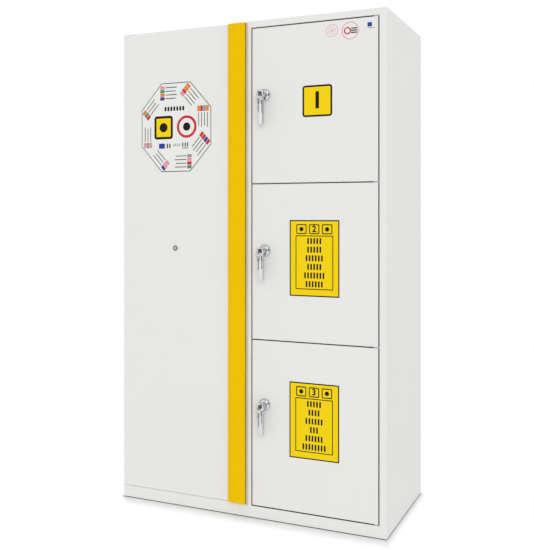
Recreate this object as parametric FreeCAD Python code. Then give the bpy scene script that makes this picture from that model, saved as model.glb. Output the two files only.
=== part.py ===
import FreeCAD, Part
import math
import os

# Combination chemical safety cabinet: a fire-rated section on the left behind one thick door,
# and three lockable compartments on the right, each behind a thin door with an L-handle.
# Millimetres. While it is modelled, X runs right from the left side, Y runs back from the
# front plane and Z runs up from the floor. place_and_export() moves all of it to its origin.

V = FreeCAD.Vector
X_AXIS = V(1, 0, 0)
Y_AXIS = V(0, 1, 0)
Z_AXIS = V(0, 0, 1)

# ---- Driving dimensions: casing ----
WIDTH = 1140.0
DEPTH = 545.0
HEIGHT = 1950.0
SHEET = 1.5                 # casing sheet steel
BEND = 1.5                  # inside radius of every fold in it
FLOOR_CLEARANCE = 3.0       # floor to the lower edges of the panels
PLINTH_TOP = 47.0
TOP_RAIL = 26.0
FIRE_WIDTH = 576.0          # left side to the centre stile
STILE_WIDTH = 18.0
SIDE_STILE = 28.0
BACK_RETURN = 20.0          # folded edge at the back of each side panel
FRONT_RETURN = 30.0         # folded edge behind the fire section's collar
STILE_LAP = 55.0            # centre stile's lap on the partition

# ---- Driving dimensions: fire section ----
INSULATION = 45.5
LINING = 3.0
FIRE_DOOR_THICKNESS = 60.0
FIRE_DOOR_BACK_GAP = 4.0
FIRE_DOOR_SIDE_GAP = 3.0
FIRE_DOOR_TOP_GAP = 3.0
FIRE_PIVOT_INSET = 12.0     # pivot axis from the left side
FIRE_PIVOT_DEPTH = 35.0     # pivot axis behind the front plane
FIRE_PIN_RADIUS = 6.0
FIRE_PIN_REACH = 15.0
FIRE_BUSH_RADIUS = 9.0
FIRE_BUSH_LENGTH = 20.0
GASKET_INSET = 22.0
GASKET_WIDTH = 12.0
STRIP_SEAL_INSET = 2.0      # intumescent strip beside the collar's opening
STRIP_SEAL_WIDTH = 8.0
STRIP_SEAL_THICKNESS = 1.2
HINGE_PLATE = 3.0
HINGE_PLATE_HALF = 15.0     # plate's edge beyond the pivot axis
FIRE_SHELVES = 3
FIRE_SHELF_LIP = 25.0
FIRE_SHELF_FRONT = 88.0
FIRE_SHELF_BACK = 472.0
SHELF_SHEET = 1.2
UPRIGHT_WIDTH = 20.0
UPRIGHT_DEPTH = 12.0
UPRIGHT_FRONT = 120.0
UPRIGHT_BACK = 430.0
UPRIGHT_PITCH = 100.0
SLOT_WIDTH = 6.0
SLOT_HEIGHT = 22.0
CLIP_REACH = 20.0
CLIP_WIDTH = 14.0
CLIP_NOSE = 3.0
SHELF_SIDE_GAP = 2.0
SUMP_HEIGHT = 60.0
SUMP_FRONT = 74.0
SUMP_MARGIN = 6.0
GRID_SLOT_LENGTH = 60.0
GRID_SLOT_WIDTH = 8.0
GRID_COLUMNS = 5
GRID_ROWS = 9

# ---- Driving dimensions: grip strip and fire door lock ----
STRIP_WIDTH = 75.0          # across the whole strip
STRIP_RAMP = 25.0           # its sloping left part
STRIP_SHOULDER = 13.0       # how far its left edge stands out from the door
STRIP_HEIGHT = 17.0         # how far its flat part stands out
STRIP_SHEET = 1.5
STRIP_END_MARGIN = 2.0
FIRE_LOCK_X = 251.0
FIRE_LOCK_Z = 1053.0
LOCK_ROSETTE_RADIUS = 11.0
LOCK_ROSETTE_HEIGHT = 2.5
LOCK_BARREL_RADIUS = 9.0
LOCK_BARREL_LENGTH = 33.0
LOCK_PLUG_RADIUS = 6.0
CRANK_RADIUS = 12.0
CRANK_SHEET = 3.0
CRANK_PIN_RADIUS = 2.5
BOLT_TRAVEL = 12.0
BOLT_HEIGHT = 14.0
BOLT_THICKNESS = 8.0
BOLT_SLOT_PLAY = 0.4
YOKE_MARGIN = 8.0            # of the bolt's yoke round its slot
BOLT_END_INSET = 3.0        # bolt end behind the door's edge while it is drawn back
GUIDE_LENGTH = 12.0
GUIDE_MARGIN = 3.0           # of a guide round the bolt
GUIDE_FROM_LOCK = 100.0
GUIDE_FROM_EDGE = 40.0
CRANK_POCKET_MARGIN = 10.0
STRIKE_CLEARANCE = 1.0
KEYWAY_WIDTH = 1.4
KEYWAY_HEIGHT = 8.0
KEYWAY_DEPTH = 6.0
PLUG_PROUD = 0.5             # of every lock plug in front of its housing
LOCK_EDGE = 1.0

# ---- Driving dimensions: right section ----
DOOR_GAP = 4.0
DOOR_THICKNESS = 20.0
DOOR_SHEET = 1.2
LOWER_DOOR_HEIGHT = 648.0
MIDDLE_DOOR_HEIGHT = 606.0
DOOR_PIVOT_INSET = 8.0
DOOR_PIVOT_DEPTH = 5.0
DOOR_PIN_RADIUS = 2.5
DOOR_PIN_REACH = 12.0
PIN_END_PLAY = 1.0
PIVOT_BLOCK_HALF = 7.0
PIVOT_BLOCK_HEIGHT = 16.0
PIVOT_PLATE = 2.4
PIVOT_PLATE_LENGTH = 20.0
STOP_DEPTH = 24.0           # front plane to the door stop's lip
STOP_LIP = 22.0
STOP_FLANGE = 12.0          # the stop frame's flange begins this far back
SEAL_INSET = 9.0
SEAL_WIDTH = 8.0
SHELF_RAIL = 20.0
SHELF_LIP = 25.0
SHELF_RISE = 330.0          # compartment floor to the top of its shelf
TRAY_HEIGHT = 60.0
TRAY_WALL = 4.0
TRAY_MARGIN = 8.0
DUCT_WIDTH = 104.0
DUCT_X = 860.0
DUCT_INLET_HEIGHT = 60.0
DUCT_INLET_MARGIN = 20.0
DUCT_INLET_RISES = (80.0, 390.0)    # lower edges above each compartment's floor

# ---- Driving dimensions: L-handles and keys ----
HANDLE_INSET = 54.0         # handle axis from the door's left edge
HANDLE_HEIGHTS = (450.0, 1050.0, 1656.0)
ROSETTE_RADIUS = 24.0
ROSETTE_HEIGHT = 12.0
ROSETTE_RIM = 2.5
ROSETTE_BULGE = 2.0
BACK_NUT_RADIUS = 18.0
SPINDLE_RADIUS = 10.0
SLEEVE_RADIUS = 12.5
HUB_RADIUS = 16.0
HUB_FRONT = 47.0            # hub's front face from the front plane
HUB_LENGTH = 20.0
HUB_EDGE = 2.0
NECK_GAP = 0.5
ARM_LENGTH = 117.0
ARM_ROOT_WIDTH = 24.0
ARM_TIP_WIDTH = 20.0
ARM_THICKNESS = 11.0
ARM_FRONT = 42.0
ARM_EDGE = 2.5
TAIL_RADIUS = 6.0
CAM_LENGTH = 70.0
CAM_WIDTH = 22.0
CAM_SHEET = 4.0
CAM_DEPTH = 28.0            # cam's front face behind the front plane
NUT_RADIUS = 10.0
NUT_HEIGHT = 5.0
PLUG_RADIUS = 7.0
PLUG_LENGTH = 25.0
KEY_SHEET = 2.0
KEY_BLADE = 8.0
KEY_INSERTED = 18.0
KEY_BOW_RADIUS = 10.0
KEY_BOW_Y = 56.0            # bow centre in front of the front plane
KEY_HOLE_Y = 60.0
KEY_HOLE_RADIUS = 4.0
KEY_SHOULDER_GAP = 1.0      # bow to the lever's hub
RING_INNER_RADIUS = 9.5
RING_WIRE = 1.5
SPARE_BOW_RADIUS = 11.0
SPARE_BOW_RIM = 3.0         # above its hole
SPARE_LENGTH = 53.0
KEY_CUTS = (1.5, 2.5, 1.0, 2.0, 1.2)    # depths along the spare key's blade, from its tip
KEY_CUT_PITCH = 4.0

# ---- Driving dimensions: roof and floor ----
SPIGOT_RADIUS = 50.0
SPIGOT_WALL = 2.0
SPIGOT_HEIGHT = 70.0
SPIGOT_FLANGE = 3.5         # flange beyond the spigot
FIRE_SPIGOT_X = 288.0
FIRE_SPIGOT_SETBACK = 60.0  # fire section's lining to the spigot
FOOT_INSET_X = 60.0
FOOT_INSET_FRONT = 90.0
FOOT_INSET_BACK = 60.0
FOOT_RADIUS = 22.0
FOOT_PAD = 8.0
FOOT_CHAMFER = 2.0
FOOT_STUD_RADIUS = 6.0
FOOT_NUT_RADIUS = 10.0
FOOT_NUT_HEIGHT = 10.0

# ---- Clearances ----
RUNNING = 0.05              # radial clearance of a pin or plug in its hole
SLIDING = 0.1               # each side of the lock bolt
SOFT_CLEARANCE = 0.3        # seals and gaskets to what they close on
RING_CLEARANCE = 0.2

# ---- Sizes that follow from them ----
KEY_REACH = KEY_HOLE_Y + SPARE_BOW_RADIUS
ORIGIN_SHIFT = V(-WIDTH / 2, (KEY_REACH - DEPTH) / 2, 0)
ROOF_UNDER = HEIGHT - SHEET
FLOOR_TOP = PLINTH_TOP + SHEET
BACK_INNER = DEPTH - 2 * SHEET
COLLAR_FRONT = FIRE_DOOR_THICKNESS + FIRE_DOOR_BACK_GAP
COLLAR_BACK = COLLAR_FRONT + SHEET
BOARD_FRONT = COLLAR_BACK + SHEET + BEND
FIRE_WALL = INSULATION + LINING
FIRE_X0 = SHEET + FIRE_WALL
FIRE_X1 = FIRE_WIDTH - SHEET - FIRE_WALL
FIRE_Y1 = BACK_INNER - FIRE_WALL
FIRE_Z0 = FLOOR_TOP + FIRE_WALL
FIRE_Z1 = ROOF_UNDER - FIRE_WALL
FIRE_DOOR_X1 = FIRE_WIDTH - FIRE_DOOR_SIDE_GAP
FIRE_DOOR_Z0 = PLINTH_TOP + DOOR_GAP
FIRE_DOOR_Z1 = HEIGHT - FIRE_DOOR_TOP_GAP
FIRE_SPIGOT_Y = DEPTH - FIRE_WALL - SPIGOT_RADIUS - FIRE_SPIGOT_SETBACK
GRID_TOP = FIRE_Z0 + SUMP_HEIGHT + SHEET
FIRE_BAY = (FIRE_Z1 - GRID_TOP) / (FIRE_SHELVES + 1)
FIRE_SHELF_TOPS = [GRID_TOP + FIRE_BAY * (i + 1) for i in range(FIRE_SHELVES)]
STRIP_X1 = FIRE_DOOR_X1
STRIP_X0 = STRIP_X1 - STRIP_WIDTH
CRANK_Y = LOCK_BARREL_LENGTH + SOFT_CLEARANCE
CRANK_THROW = BOLT_TRAVEL / math.sqrt(2)
BOLT_Y = CRANK_Y + CRANK_SHEET + SOFT_CLEARANCE
STILE_X1 = FIRE_WIDTH + STILE_WIDTH
FRAME_X0 = STILE_X1
FRAME_X1 = WIDTH - SIDE_STILE
FRAME_Z0 = PLINTH_TOP
FRAME_Z1 = HEIGHT - TOP_RAIL
DOOR_X0 = FRAME_X0 + DOOR_GAP
DOOR_X1 = FRAME_X1 - DOOR_GAP
LOWER_Z0 = FRAME_Z0 + DOOR_GAP
MIDDLE_Z0 = LOWER_Z0 + LOWER_DOOR_HEIGHT + DOOR_GAP
UPPER_Z0 = MIDDLE_Z0 + MIDDLE_DOOR_HEIGHT + DOOR_GAP
UPPER_Z1 = FRAME_Z1 - DOOR_GAP
DOORS = {
    "lower": (LOWER_Z0, LOWER_Z0 + LOWER_DOOR_HEIGHT, HANDLE_HEIGHTS[0]),
    "middle": (MIDDLE_Z0, MIDDLE_Z0 + MIDDLE_DOOR_HEIGHT, HANDLE_HEIGHTS[1]),
    "upper": (UPPER_Z0, UPPER_Z1, HANDLE_HEIGHTS[2]),
}
DIVIDER_HEIGHTS = (MIDDLE_Z0 - DOOR_GAP / 2, UPPER_Z0 - DOOR_GAP / 2)
COMPARTMENT_FLOORS = (FLOOR_TOP, DIVIDER_HEIGHTS[0] + SHEET / 2, DIVIDER_HEIGHTS[1] + SHEET / 2)
STOP_BACK = STOP_DEPTH + SHEET
ROOM_X0 = FIRE_WIDTH
ROOM_X1 = WIDTH - SHEET
DUCT_FRONT = BACK_INNER - DUCT_WIDTH
DUCT_X0 = DUCT_X - DUCT_WIDTH / 2
DUCT_X1 = DUCT_X + DUCT_WIDTH / 2
DUCT_Y = BACK_INNER - DUCT_WIDTH / 2
SHELF_BACK = DUCT_FRONT - TRAY_MARGIN
HANDLE_X = DOOR_X0 + HANDLE_INSET
DOOR_PIVOT_X = DOOR_X1 - DOOR_PIVOT_INSET
RING_CENTRE_DROP = KEY_HOLE_RADIUS - RING_CLEARANCE + RING_INNER_RADIUS
SPARE_HOLE_DROP = 2 * RING_CENTRE_DROP


# ---- Building blocks ----
def box(x0, x1, y0, y1, z0, z1):
    return Part.makeBox(x1 - x0, y1 - y0, z1 - z0, V(x0, y0, z0))


def rod(radius, start, direction, length):
    return Part.makeCylinder(radius, length, start, direction)


def vertical_rod(radius, x, y, z0, z1):
    return rod(radius, V(x, y, z0), Z_AXIS, z1 - z0)


def open_frame(x0, x1, z0, z1, width, y0, y1):
    """A flat rectangular ring that faces the front."""
    inside = box(x0 + width, x1 - width, y0, y1, z0 + width, z1 - width)
    return box(x0, x1, y0, y1, z0, z1).cut(inside)


def rounded_path(points, radii):
    """Edges along an open line of points, with an arc of its own radius at each inner point."""
    edges = []
    start = points[0]
    for i in range(1, len(points) - 1):
        before = (points[i - 1] - points[i]).normalize()
        after = (points[i + 1] - points[i]).normalize()
        half = before.getAngle(after) / 2
        setback = radii[i - 1] / math.tan(half)
        first = points[i] + before * setback
        last = points[i] + after * setback
        middle_way = (before + after).normalize()
        middle = points[i] + middle_way * (radii[i - 1] / math.sin(half) - radii[i - 1])
        edges.append(Part.makeLine(start, first))
        edges.append(Part.Arc(first, middle, last).toShape())
        start = last
    edges.append(Part.makeLine(start, points[-1]))
    return edges


def folded_sheet(points, thickness, bend, extrusion, normal):
    """A bent strip: points follow one face, and the sheet lies to the left of the way they run."""
    sides = []
    for a, b in zip(points, points[1:]):
        sides.append(normal.cross(b - a).normalize() * thickness)
    other = [points[0] + sides[0]]
    given_radii = []
    other_radii = []
    for i in range(1, len(points) - 1):
        bisector = sides[i - 1] + sides[i]
        other.append(points[i] + bisector * (2 * thickness ** 2 / bisector.Length ** 2))
        turns_left = normal.dot((points[i] - points[i - 1]).cross(points[i + 1] - points[i])) > 0
        given_radii.append(bend + thickness if turns_left else bend)
        other_radii.append(bend if turns_left else bend + thickness)
    other.append(points[-1] + sides[-1])
    edges = rounded_path(points, given_radii)
    edges.append(Part.makeLine(points[-1], other[-1]))
    edges += rounded_path(other[::-1], other_radii[::-1])
    edges.append(Part.makeLine(other[0], points[0]))
    return Part.Face(Part.Wire(Part.__sortEdges__(edges))).extrude(extrusion)


def front_edges(solid, y):
    """The edges of a solid that lie in the plane at y."""
    found = []
    for edge in solid.Edges:
        bounds = edge.BoundBox
        if abs(bounds.YMin - y) < 1e-6 and abs(bounds.YMax - y) < 1e-6:
            found.append(edge)
    return found


def door_pan(x0, x1, z0, z1, depth, sheet):
    """A folded pan: a front sheet with four edges bent back, open behind."""
    outer = box(x0, x1, 0, depth, z0, z1)
    outer = outer.makeFillet(BEND + sheet, front_edges(outer, 0))
    return outer.cut(box(x0 + sheet, x1 - sheet, sheet, depth, z0 + sheet, z1 - sheet))


def raised_tray(x0, x1, y0, y1, z0, z1, wall):
    """A tray with its rim up."""
    hollow = box(x0 + wall, x1 - wall, y0 + wall, y1 - wall, z0 + wall, z1)
    return box(x0, x1, y0, y1, z0, z1).cut(hollow)


# ---- Casing ----
def side_panel_left():
    profile = [
        V(BACK_RETURN, DEPTH, FLOOR_CLEARANCE),
        V(0, DEPTH, FLOOR_CLEARANCE),
        V(0, COLLAR_BACK, FLOOR_CLEARANCE),
        V(FRONT_RETURN, COLLAR_BACK, FLOOR_CLEARANCE),
    ]
    rise = V(0, 0, ROOF_UNDER - FLOOR_CLEARANCE)
    panel = folded_sheet(profile, SHEET, BEND, rise, Z_AXIS)
    return panel.cut(box(SHEET, FRONT_RETURN, COLLAR_BACK, DEPTH - SHEET, 0, FLOOR_TOP))


def side_panel_right():
    profile = [
        V(FRAME_X1, STOP_FLANGE, FLOOR_CLEARANCE),
        V(FRAME_X1, 0, FLOOR_CLEARANCE),
        V(WIDTH, 0, FLOOR_CLEARANCE),
        V(WIDTH, DEPTH, FLOOR_CLEARANCE),
        V(WIDTH - BACK_RETURN, DEPTH, FLOOR_CLEARANCE),
    ]
    rise = V(0, 0, ROOF_UNDER - FLOOR_CLEARANCE)
    return folded_sheet(profile, SHEET, BEND, rise, Z_AXIS)


def centre_stile():
    """Front channel between the two sections, and the strike plate welded behind its fire side."""
    profile = [
        V(FIRE_WIDTH, STOP_BACK, PLINTH_TOP),
        V(FIRE_WIDTH, 0, PLINTH_TOP),
        V(STILE_X1, 0, PLINTH_TOP),
        V(STILE_X1, STOP_FLANGE, PLINTH_TOP),
    ]
    channel = folded_sheet(profile, SHEET, BEND, V(0, 0, ROOF_UNDER - PLINTH_TOP), Z_AXIS)
    plate = box(FIRE_WIDTH, FIRE_WIDTH + SHEET, STOP_BACK, COLLAR_BACK + STILE_LAP, FLOOR_TOP, ROOF_UNDER)
    strike = bolt_space(FIRE_WIDTH, FIRE_WIDTH + SHEET, STRIKE_CLEARANCE)
    return Part.makeCompound([channel, plate.cut(strike)])


def roof_panel():
    rail = [
        V(FRAME_X0, STOP_FLANGE, FRAME_Z1),
        V(FRAME_X0, 0, FRAME_Z1),
        V(FRAME_X0, 0, HEIGHT),
        V(FRAME_X0, COLLAR_BACK, HEIGHT),
    ]
    front = folded_sheet(rail, SHEET, BEND, X_AXIS * (FRAME_X1 - FRAME_X0), -X_AXIS)
    over_stile = box(FIRE_WIDTH, FRAME_X0, 0, COLLAR_BACK, ROOF_UNDER, HEIGHT)
    over_side = box(FRAME_X1, WIDTH, 0, COLLAR_BACK, ROOF_UNDER, HEIGHT)
    main = box(0, WIDTH, COLLAR_FRONT, DEPTH, ROOF_UNDER, HEIGHT)
    roof = main.fuse([front, over_stile, over_side]).removeSplitter()
    for x, y in ((FIRE_SPIGOT_X, FIRE_SPIGOT_Y), (DUCT_X, DUCT_Y)):
        roof = roof.cut(vertical_rod(SPIGOT_RADIUS, x, y, ROOF_UNDER, HEIGHT))
    return roof


def plinth_panel():
    outer = box(0, FRAME_X1, 0, COLLAR_BACK, FLOOR_CLEARANCE, PLINTH_TOP)
    corner = [e for e in outer.Edges if e.BoundBox.XMax < 1e-6 and e.BoundBox.YMax < 1e-6]
    outer = outer.makeFillet(BEND + SHEET, corner)
    inside = box(SHEET, FRAME_X1, SHEET, COLLAR_BACK, FLOOR_CLEARANCE, PLINTH_TOP - SHEET)
    return outer.cut(inside)


def floor_panel():
    left = box(SHEET, FIRE_WIDTH, COLLAR_BACK, BACK_INNER, PLINTH_TOP, FLOOR_TOP)
    right = box(FIRE_WIDTH, ROOM_X1, STOP_BACK, BACK_INNER, PLINTH_TOP, FLOOR_TOP)
    return left.fuse(right).removeSplitter()


def back_panel():
    return box(SHEET + BEND, ROOM_X1 - BEND, BACK_INNER, DEPTH - SHEET, FLOOR_CLEARANCE, ROOF_UNDER)


def partition_panel():
    profile = [
        V(FIRE_WIDTH - FRONT_RETURN, COLLAR_BACK, FLOOR_TOP),
        V(FIRE_WIDTH, COLLAR_BACK, FLOOR_TOP),
        V(FIRE_WIDTH, BACK_INNER, FLOOR_TOP),
    ]
    return folded_sheet(profile, SHEET, BEND, V(0, 0, ROOF_UNDER - FLOOR_TOP), Z_AXIS)


# ---- Fire section ----
def fire_boards(margin, thickness, front):
    """Five boards that line the fire section, margin in from the casing's inner faces."""
    x0 = SHEET + margin
    x1 = FIRE_WIDTH - SHEET - margin
    y1 = BACK_INNER - margin
    z0 = FLOOR_TOP + margin
    z1 = ROOF_UNDER - margin
    inner_x0 = x0 + thickness
    inner_x1 = x1 - thickness
    left = box(x0, inner_x0, front, y1, z0, z1)
    right = box(inner_x1, x1, front, y1, z0, z1)
    bottom = box(inner_x0, inner_x1, front, y1, z0, z0 + thickness)
    top = box(inner_x0, inner_x1, front, y1, z1 - thickness, z1)
    top = top.cut(vertical_rod(SPIGOT_RADIUS, FIRE_SPIGOT_X, FIRE_SPIGOT_Y, z1 - thickness, z1))
    back = box(inner_x0, inner_x1, y1 - thickness, y1, z0 + thickness, z1 - thickness)
    return Part.makeCompound([left, right, bottom, top, back])


def front_collar():
    outer = box(0, FIRE_WIDTH, COLLAR_FRONT, COLLAR_BACK, PLINTH_TOP, ROOF_UNDER)
    return outer.cut(box(FIRE_X0, FIRE_X1, COLLAR_FRONT, COLLAR_BACK, FIRE_Z0, FIRE_Z1))


def intumescent_strip():
    outset = STRIP_SEAL_INSET + STRIP_SEAL_WIDTH
    return open_frame(FIRE_X0 - outset, FIRE_X1 + outset, FIRE_Z0 - outset, FIRE_Z1 + outset,
                      STRIP_SEAL_WIDTH, COLLAR_FRONT - STRIP_SEAL_THICKNESS, COLLAR_FRONT)


def upright_places():
    places = []
    for y in (UPRIGHT_FRONT, UPRIGHT_BACK):
        places.append((FIRE_X0, 1, y))
        places.append((FIRE_X1, -1, y))
    return places


def toward(wall_x, side, near, far, y0, y1, z0, z1):
    """A box measured out from a side wall into the fire section."""
    ends = sorted((wall_x + side * near, wall_x + side * far))
    return box(ends[0], ends[1], y0, y1, z0, z1)


def shelf_uprights():
    """Slotted channels, open towards the wall."""
    uprights = []
    z0 = GRID_TOP
    z1 = FIRE_Z1
    half = UPRIGHT_WIDTH / 2
    for wall_x, side, y in upright_places():
        channel = toward(wall_x, side, 0, UPRIGHT_DEPTH, y - half, y + half, z0, z1)
        hollow = toward(wall_x, side, 0, UPRIGHT_DEPTH - SHEET, y - half + SHEET, y + half - SHEET, z0, z1)
        slots = []
        for i in range(int((z1 - z0) / UPRIGHT_PITCH)):
            z = z0 + (i + 0.5) * UPRIGHT_PITCH
            near = UPRIGHT_DEPTH - 2 * SHEET
            slots.append(toward(wall_x, side, near, UPRIGHT_DEPTH, y - SLOT_WIDTH / 2,
                                y + SLOT_WIDTH / 2, z - SLOT_HEIGHT / 2, z + SLOT_HEIGHT / 2))
        uprights.append(channel.cut(hollow).cut(Part.makeCompound(slots)))
    return Part.makeCompound(uprights)


def shelf_clips():
    """Gusseted clips that hang on the uprights' faces under each shelf."""
    clips = []
    half = CLIP_WIDTH / 2
    for top in FIRE_SHELF_TOPS:
        seat = top - SHELF_SHEET
        for wall_x, side, y in upright_places():
            x0 = wall_x + side * UPRIGHT_DEPTH
            x1 = x0 + side * CLIP_REACH
            outline = [
                V(x0, y - half, seat),
                V(x1, y - half, seat),
                V(x1, y - half, seat - CLIP_NOSE),
                V(x0 + side * CLIP_NOSE, y - half, seat - CLIP_REACH),
                V(x0, y - half, seat - CLIP_REACH),
                V(x0, y - half, seat),
            ]
            clips.append(Part.Face(Part.makePolygon(outline)).extrude(Y_AXIS * CLIP_WIDTH))
    return Part.makeCompound(clips)


def fire_shelves():
    shelves = []
    x0 = FIRE_X0 + UPRIGHT_DEPTH + SHELF_SIDE_GAP
    x1 = FIRE_X1 - UPRIGHT_DEPTH - SHELF_SIDE_GAP
    for top in FIRE_SHELF_TOPS:
        top_sheet = box(x0, x1, FIRE_SHELF_FRONT, FIRE_SHELF_BACK, top - SHELF_SHEET, top)
        front = box(x0, x1, FIRE_SHELF_FRONT, FIRE_SHELF_FRONT + SHELF_SHEET, top - FIRE_SHELF_LIP, top)
        back = box(x0, x1, FIRE_SHELF_BACK - SHELF_SHEET, FIRE_SHELF_BACK, top - FIRE_SHELF_LIP, top)
        shelves.append(top_sheet.fuse([front, back]).removeSplitter())
    return Part.makeCompound(shelves)


def sump_tray():
    return raised_tray(FIRE_X0 + SUMP_MARGIN, FIRE_X1 - SUMP_MARGIN, SUMP_FRONT, FIRE_Y1 - SUMP_MARGIN,
                       FIRE_Z0, FIRE_Z0 + SUMP_HEIGHT, SHEET)


def sump_grid():
    """Perforated cover that lies on the sump's rim."""
    x0 = FIRE_X0 + SUMP_MARGIN
    x1 = FIRE_X1 - SUMP_MARGIN
    y1 = FIRE_Y1 - SUMP_MARGIN
    cover = box(x0, x1, SUMP_FRONT, y1, GRID_TOP - SHEET, GRID_TOP)
    pitch_x = (x1 - x0) / GRID_COLUMNS
    pitch_y = (y1 - SUMP_FRONT) / GRID_ROWS
    slots = []
    for column in range(GRID_COLUMNS):
        for row in range(GRID_ROWS):
            x = x0 + (column + 0.5) * pitch_x
            y = SUMP_FRONT + (row + 0.5) * pitch_y
            slots.append(box(x - GRID_SLOT_LENGTH / 2, x + GRID_SLOT_LENGTH / 2, y - GRID_SLOT_WIDTH / 2,
                             y + GRID_SLOT_WIDTH / 2, GRID_TOP - SHEET, GRID_TOP))
    return cover.cut(Part.makeCompound(slots))


# ---- Fire door ----
def fire_bush_holes(radius):
    lower = vertical_rod(radius, FIRE_PIVOT_INSET, FIRE_PIVOT_DEPTH, FIRE_DOOR_Z0,
                         FIRE_DOOR_Z0 + FIRE_BUSH_LENGTH)
    upper = vertical_rod(radius, FIRE_PIVOT_INSET, FIRE_PIVOT_DEPTH, FIRE_DOOR_Z1 - FIRE_BUSH_LENGTH,
                         FIRE_DOOR_Z1)
    return Part.makeCompound([lower, upper])


def fire_door_skin():
    depth = FIRE_DOOR_THICKNESS - SHEET
    skin = door_pan(0, FIRE_DOOR_X1, FIRE_DOOR_Z0, FIRE_DOOR_Z1, depth, SHEET)
    lock_hole = rod(LOCK_BARREL_RADIUS, V(FIRE_LOCK_X, 0, FIRE_LOCK_Z), Y_AXIS, SHEET)
    bolt_hole = bolt_space(FIRE_DOOR_X1 - SHEET, FIRE_DOOR_X1, SLIDING)
    return skin.cut(lock_hole).cut(bolt_hole).cut(fire_bush_holes(FIRE_BUSH_RADIUS))


def fire_door_liner():
    y0 = FIRE_DOOR_THICKNESS - SHEET
    return box(0, FIRE_DOOR_X1, y0, FIRE_DOOR_THICKNESS, FIRE_DOOR_Z0, FIRE_DOOR_Z1)


def bolt_space(x0, x1, clearance):
    """The lock bolt's section between x0 and x1, with clearance on its four sides."""
    half = BOLT_HEIGHT / 2 + clearance
    return box(x0, x1, BOLT_Y - clearance, BOLT_Y + BOLT_THICKNESS + clearance,
               FIRE_LOCK_Z - half, FIRE_LOCK_Z + half)


def fire_door_core():
    x1 = FIRE_DOOR_X1 - SHEET
    core = box(SHEET, x1, SHEET, FIRE_DOOR_THICKNESS - SHEET, FIRE_DOOR_Z0 + SHEET, FIRE_DOOR_Z1 - SHEET)
    barrel = rod(LOCK_BARREL_RADIUS, V(FIRE_LOCK_X, SHEET, FIRE_LOCK_Z), Y_AXIS, LOCK_BARREL_LENGTH)
    half = CRANK_RADIUS + CRANK_POCKET_MARGIN
    pocket = box(FIRE_LOCK_X - half, FIRE_LOCK_X + half, CRANK_Y - GUIDE_MARGIN,
                 BOLT_Y + BOLT_THICKNESS + GUIDE_MARGIN, FIRE_LOCK_Z - half, FIRE_LOCK_Z + half)
    core = core.cut(barrel).cut(pocket).cut(bolt_space(FIRE_LOCK_X, x1, GUIDE_MARGIN))
    return core.cut(fire_bush_holes(FIRE_BUSH_RADIUS))


def fire_door_bushes():
    ring = fire_bush_holes(FIRE_BUSH_RADIUS)
    bore = fire_bush_holes(FIRE_PIN_RADIUS + RUNNING)
    return ring.cut(bore)


def fire_door_grip_strip():
    """Full-height hollow strip: a left edge, a shallow ramp, a flat and a square end."""
    slope = math.atan2(STRIP_HEIGHT - STRIP_SHOULDER, STRIP_RAMP)
    z0 = FIRE_DOOR_Z0 + STRIP_END_MARGIN
    z1 = FIRE_DOOR_Z1 - STRIP_END_MARGIN
    solids = []
    for inset in (0.0, STRIP_SHEET):
        shoulder = STRIP_SHOULDER - inset / math.cos(slope) + inset * math.tan(slope)
        knee = inset * math.tan(slope / 2)
        outline = [
            V(STRIP_X0 + inset, -inset, z0),
            V(STRIP_X0 + inset, -shoulder, z0),
            V(STRIP_X0 + STRIP_RAMP + knee, inset - STRIP_HEIGHT, z0),
            V(STRIP_X1 - inset, inset - STRIP_HEIGHT, z0),
            V(STRIP_X1 - inset, -inset, z0),
            V(STRIP_X0 + inset, -inset, z0),
        ]
        solids.append(Part.Face(Part.makePolygon(outline)).extrude(V(0, 0, z1 - z0)))
    hull, hollow = solids
    long_edges = []
    for edge in hull.Edges:
        stands_out = edge.BoundBox.YMax < -STRIP_SHOULDER + 1e-6
        if stands_out and edge.Length > STRIP_WIDTH:
            long_edges.append(edge)
    return hull.makeFillet(BEND, long_edges).cut(hollow)


def fire_door_gasket():
    return open_frame(GASKET_INSET, FIRE_WIDTH - GASKET_INSET, FIRE_DOOR_Z0 + GASKET_INSET,
                      FIRE_DOOR_Z1 - GASKET_INSET, GASKET_WIDTH, FIRE_DOOR_THICKNESS,
                      COLLAR_FRONT - SOFT_CLEARANCE)


def fire_lock_case():
    """Lock housing with its rosette, and the two guides of the bolt."""
    start = V(FIRE_LOCK_X, -LOCK_ROSETTE_HEIGHT, FIRE_LOCK_Z)
    rosette = rod(LOCK_ROSETTE_RADIUS, start, Y_AXIS, LOCK_ROSETTE_HEIGHT)
    rosette = rosette.makeFillet(LOCK_EDGE, front_edges(rosette, -LOCK_ROSETTE_HEIGHT))
    barrel = rod(LOCK_BARREL_RADIUS, V(FIRE_LOCK_X, 0, FIRE_LOCK_Z), Y_AXIS, LOCK_BARREL_LENGTH)
    bore = rod(LOCK_PLUG_RADIUS + RUNNING, start, Y_AXIS, LOCK_ROSETTE_HEIGHT + LOCK_BARREL_LENGTH)
    solids = [rosette.fuse(barrel).removeSplitter().cut(bore)]
    for x in (FIRE_LOCK_X + GUIDE_FROM_LOCK, FIRE_DOOR_X1 - GUIDE_FROM_EDGE):
        guide = bolt_space(x, x + GUIDE_LENGTH, GUIDE_MARGIN)
        solids.append(guide.cut(bolt_space(x, x + GUIDE_LENGTH, SLIDING)))
    return Part.makeCompound(solids)


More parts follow.
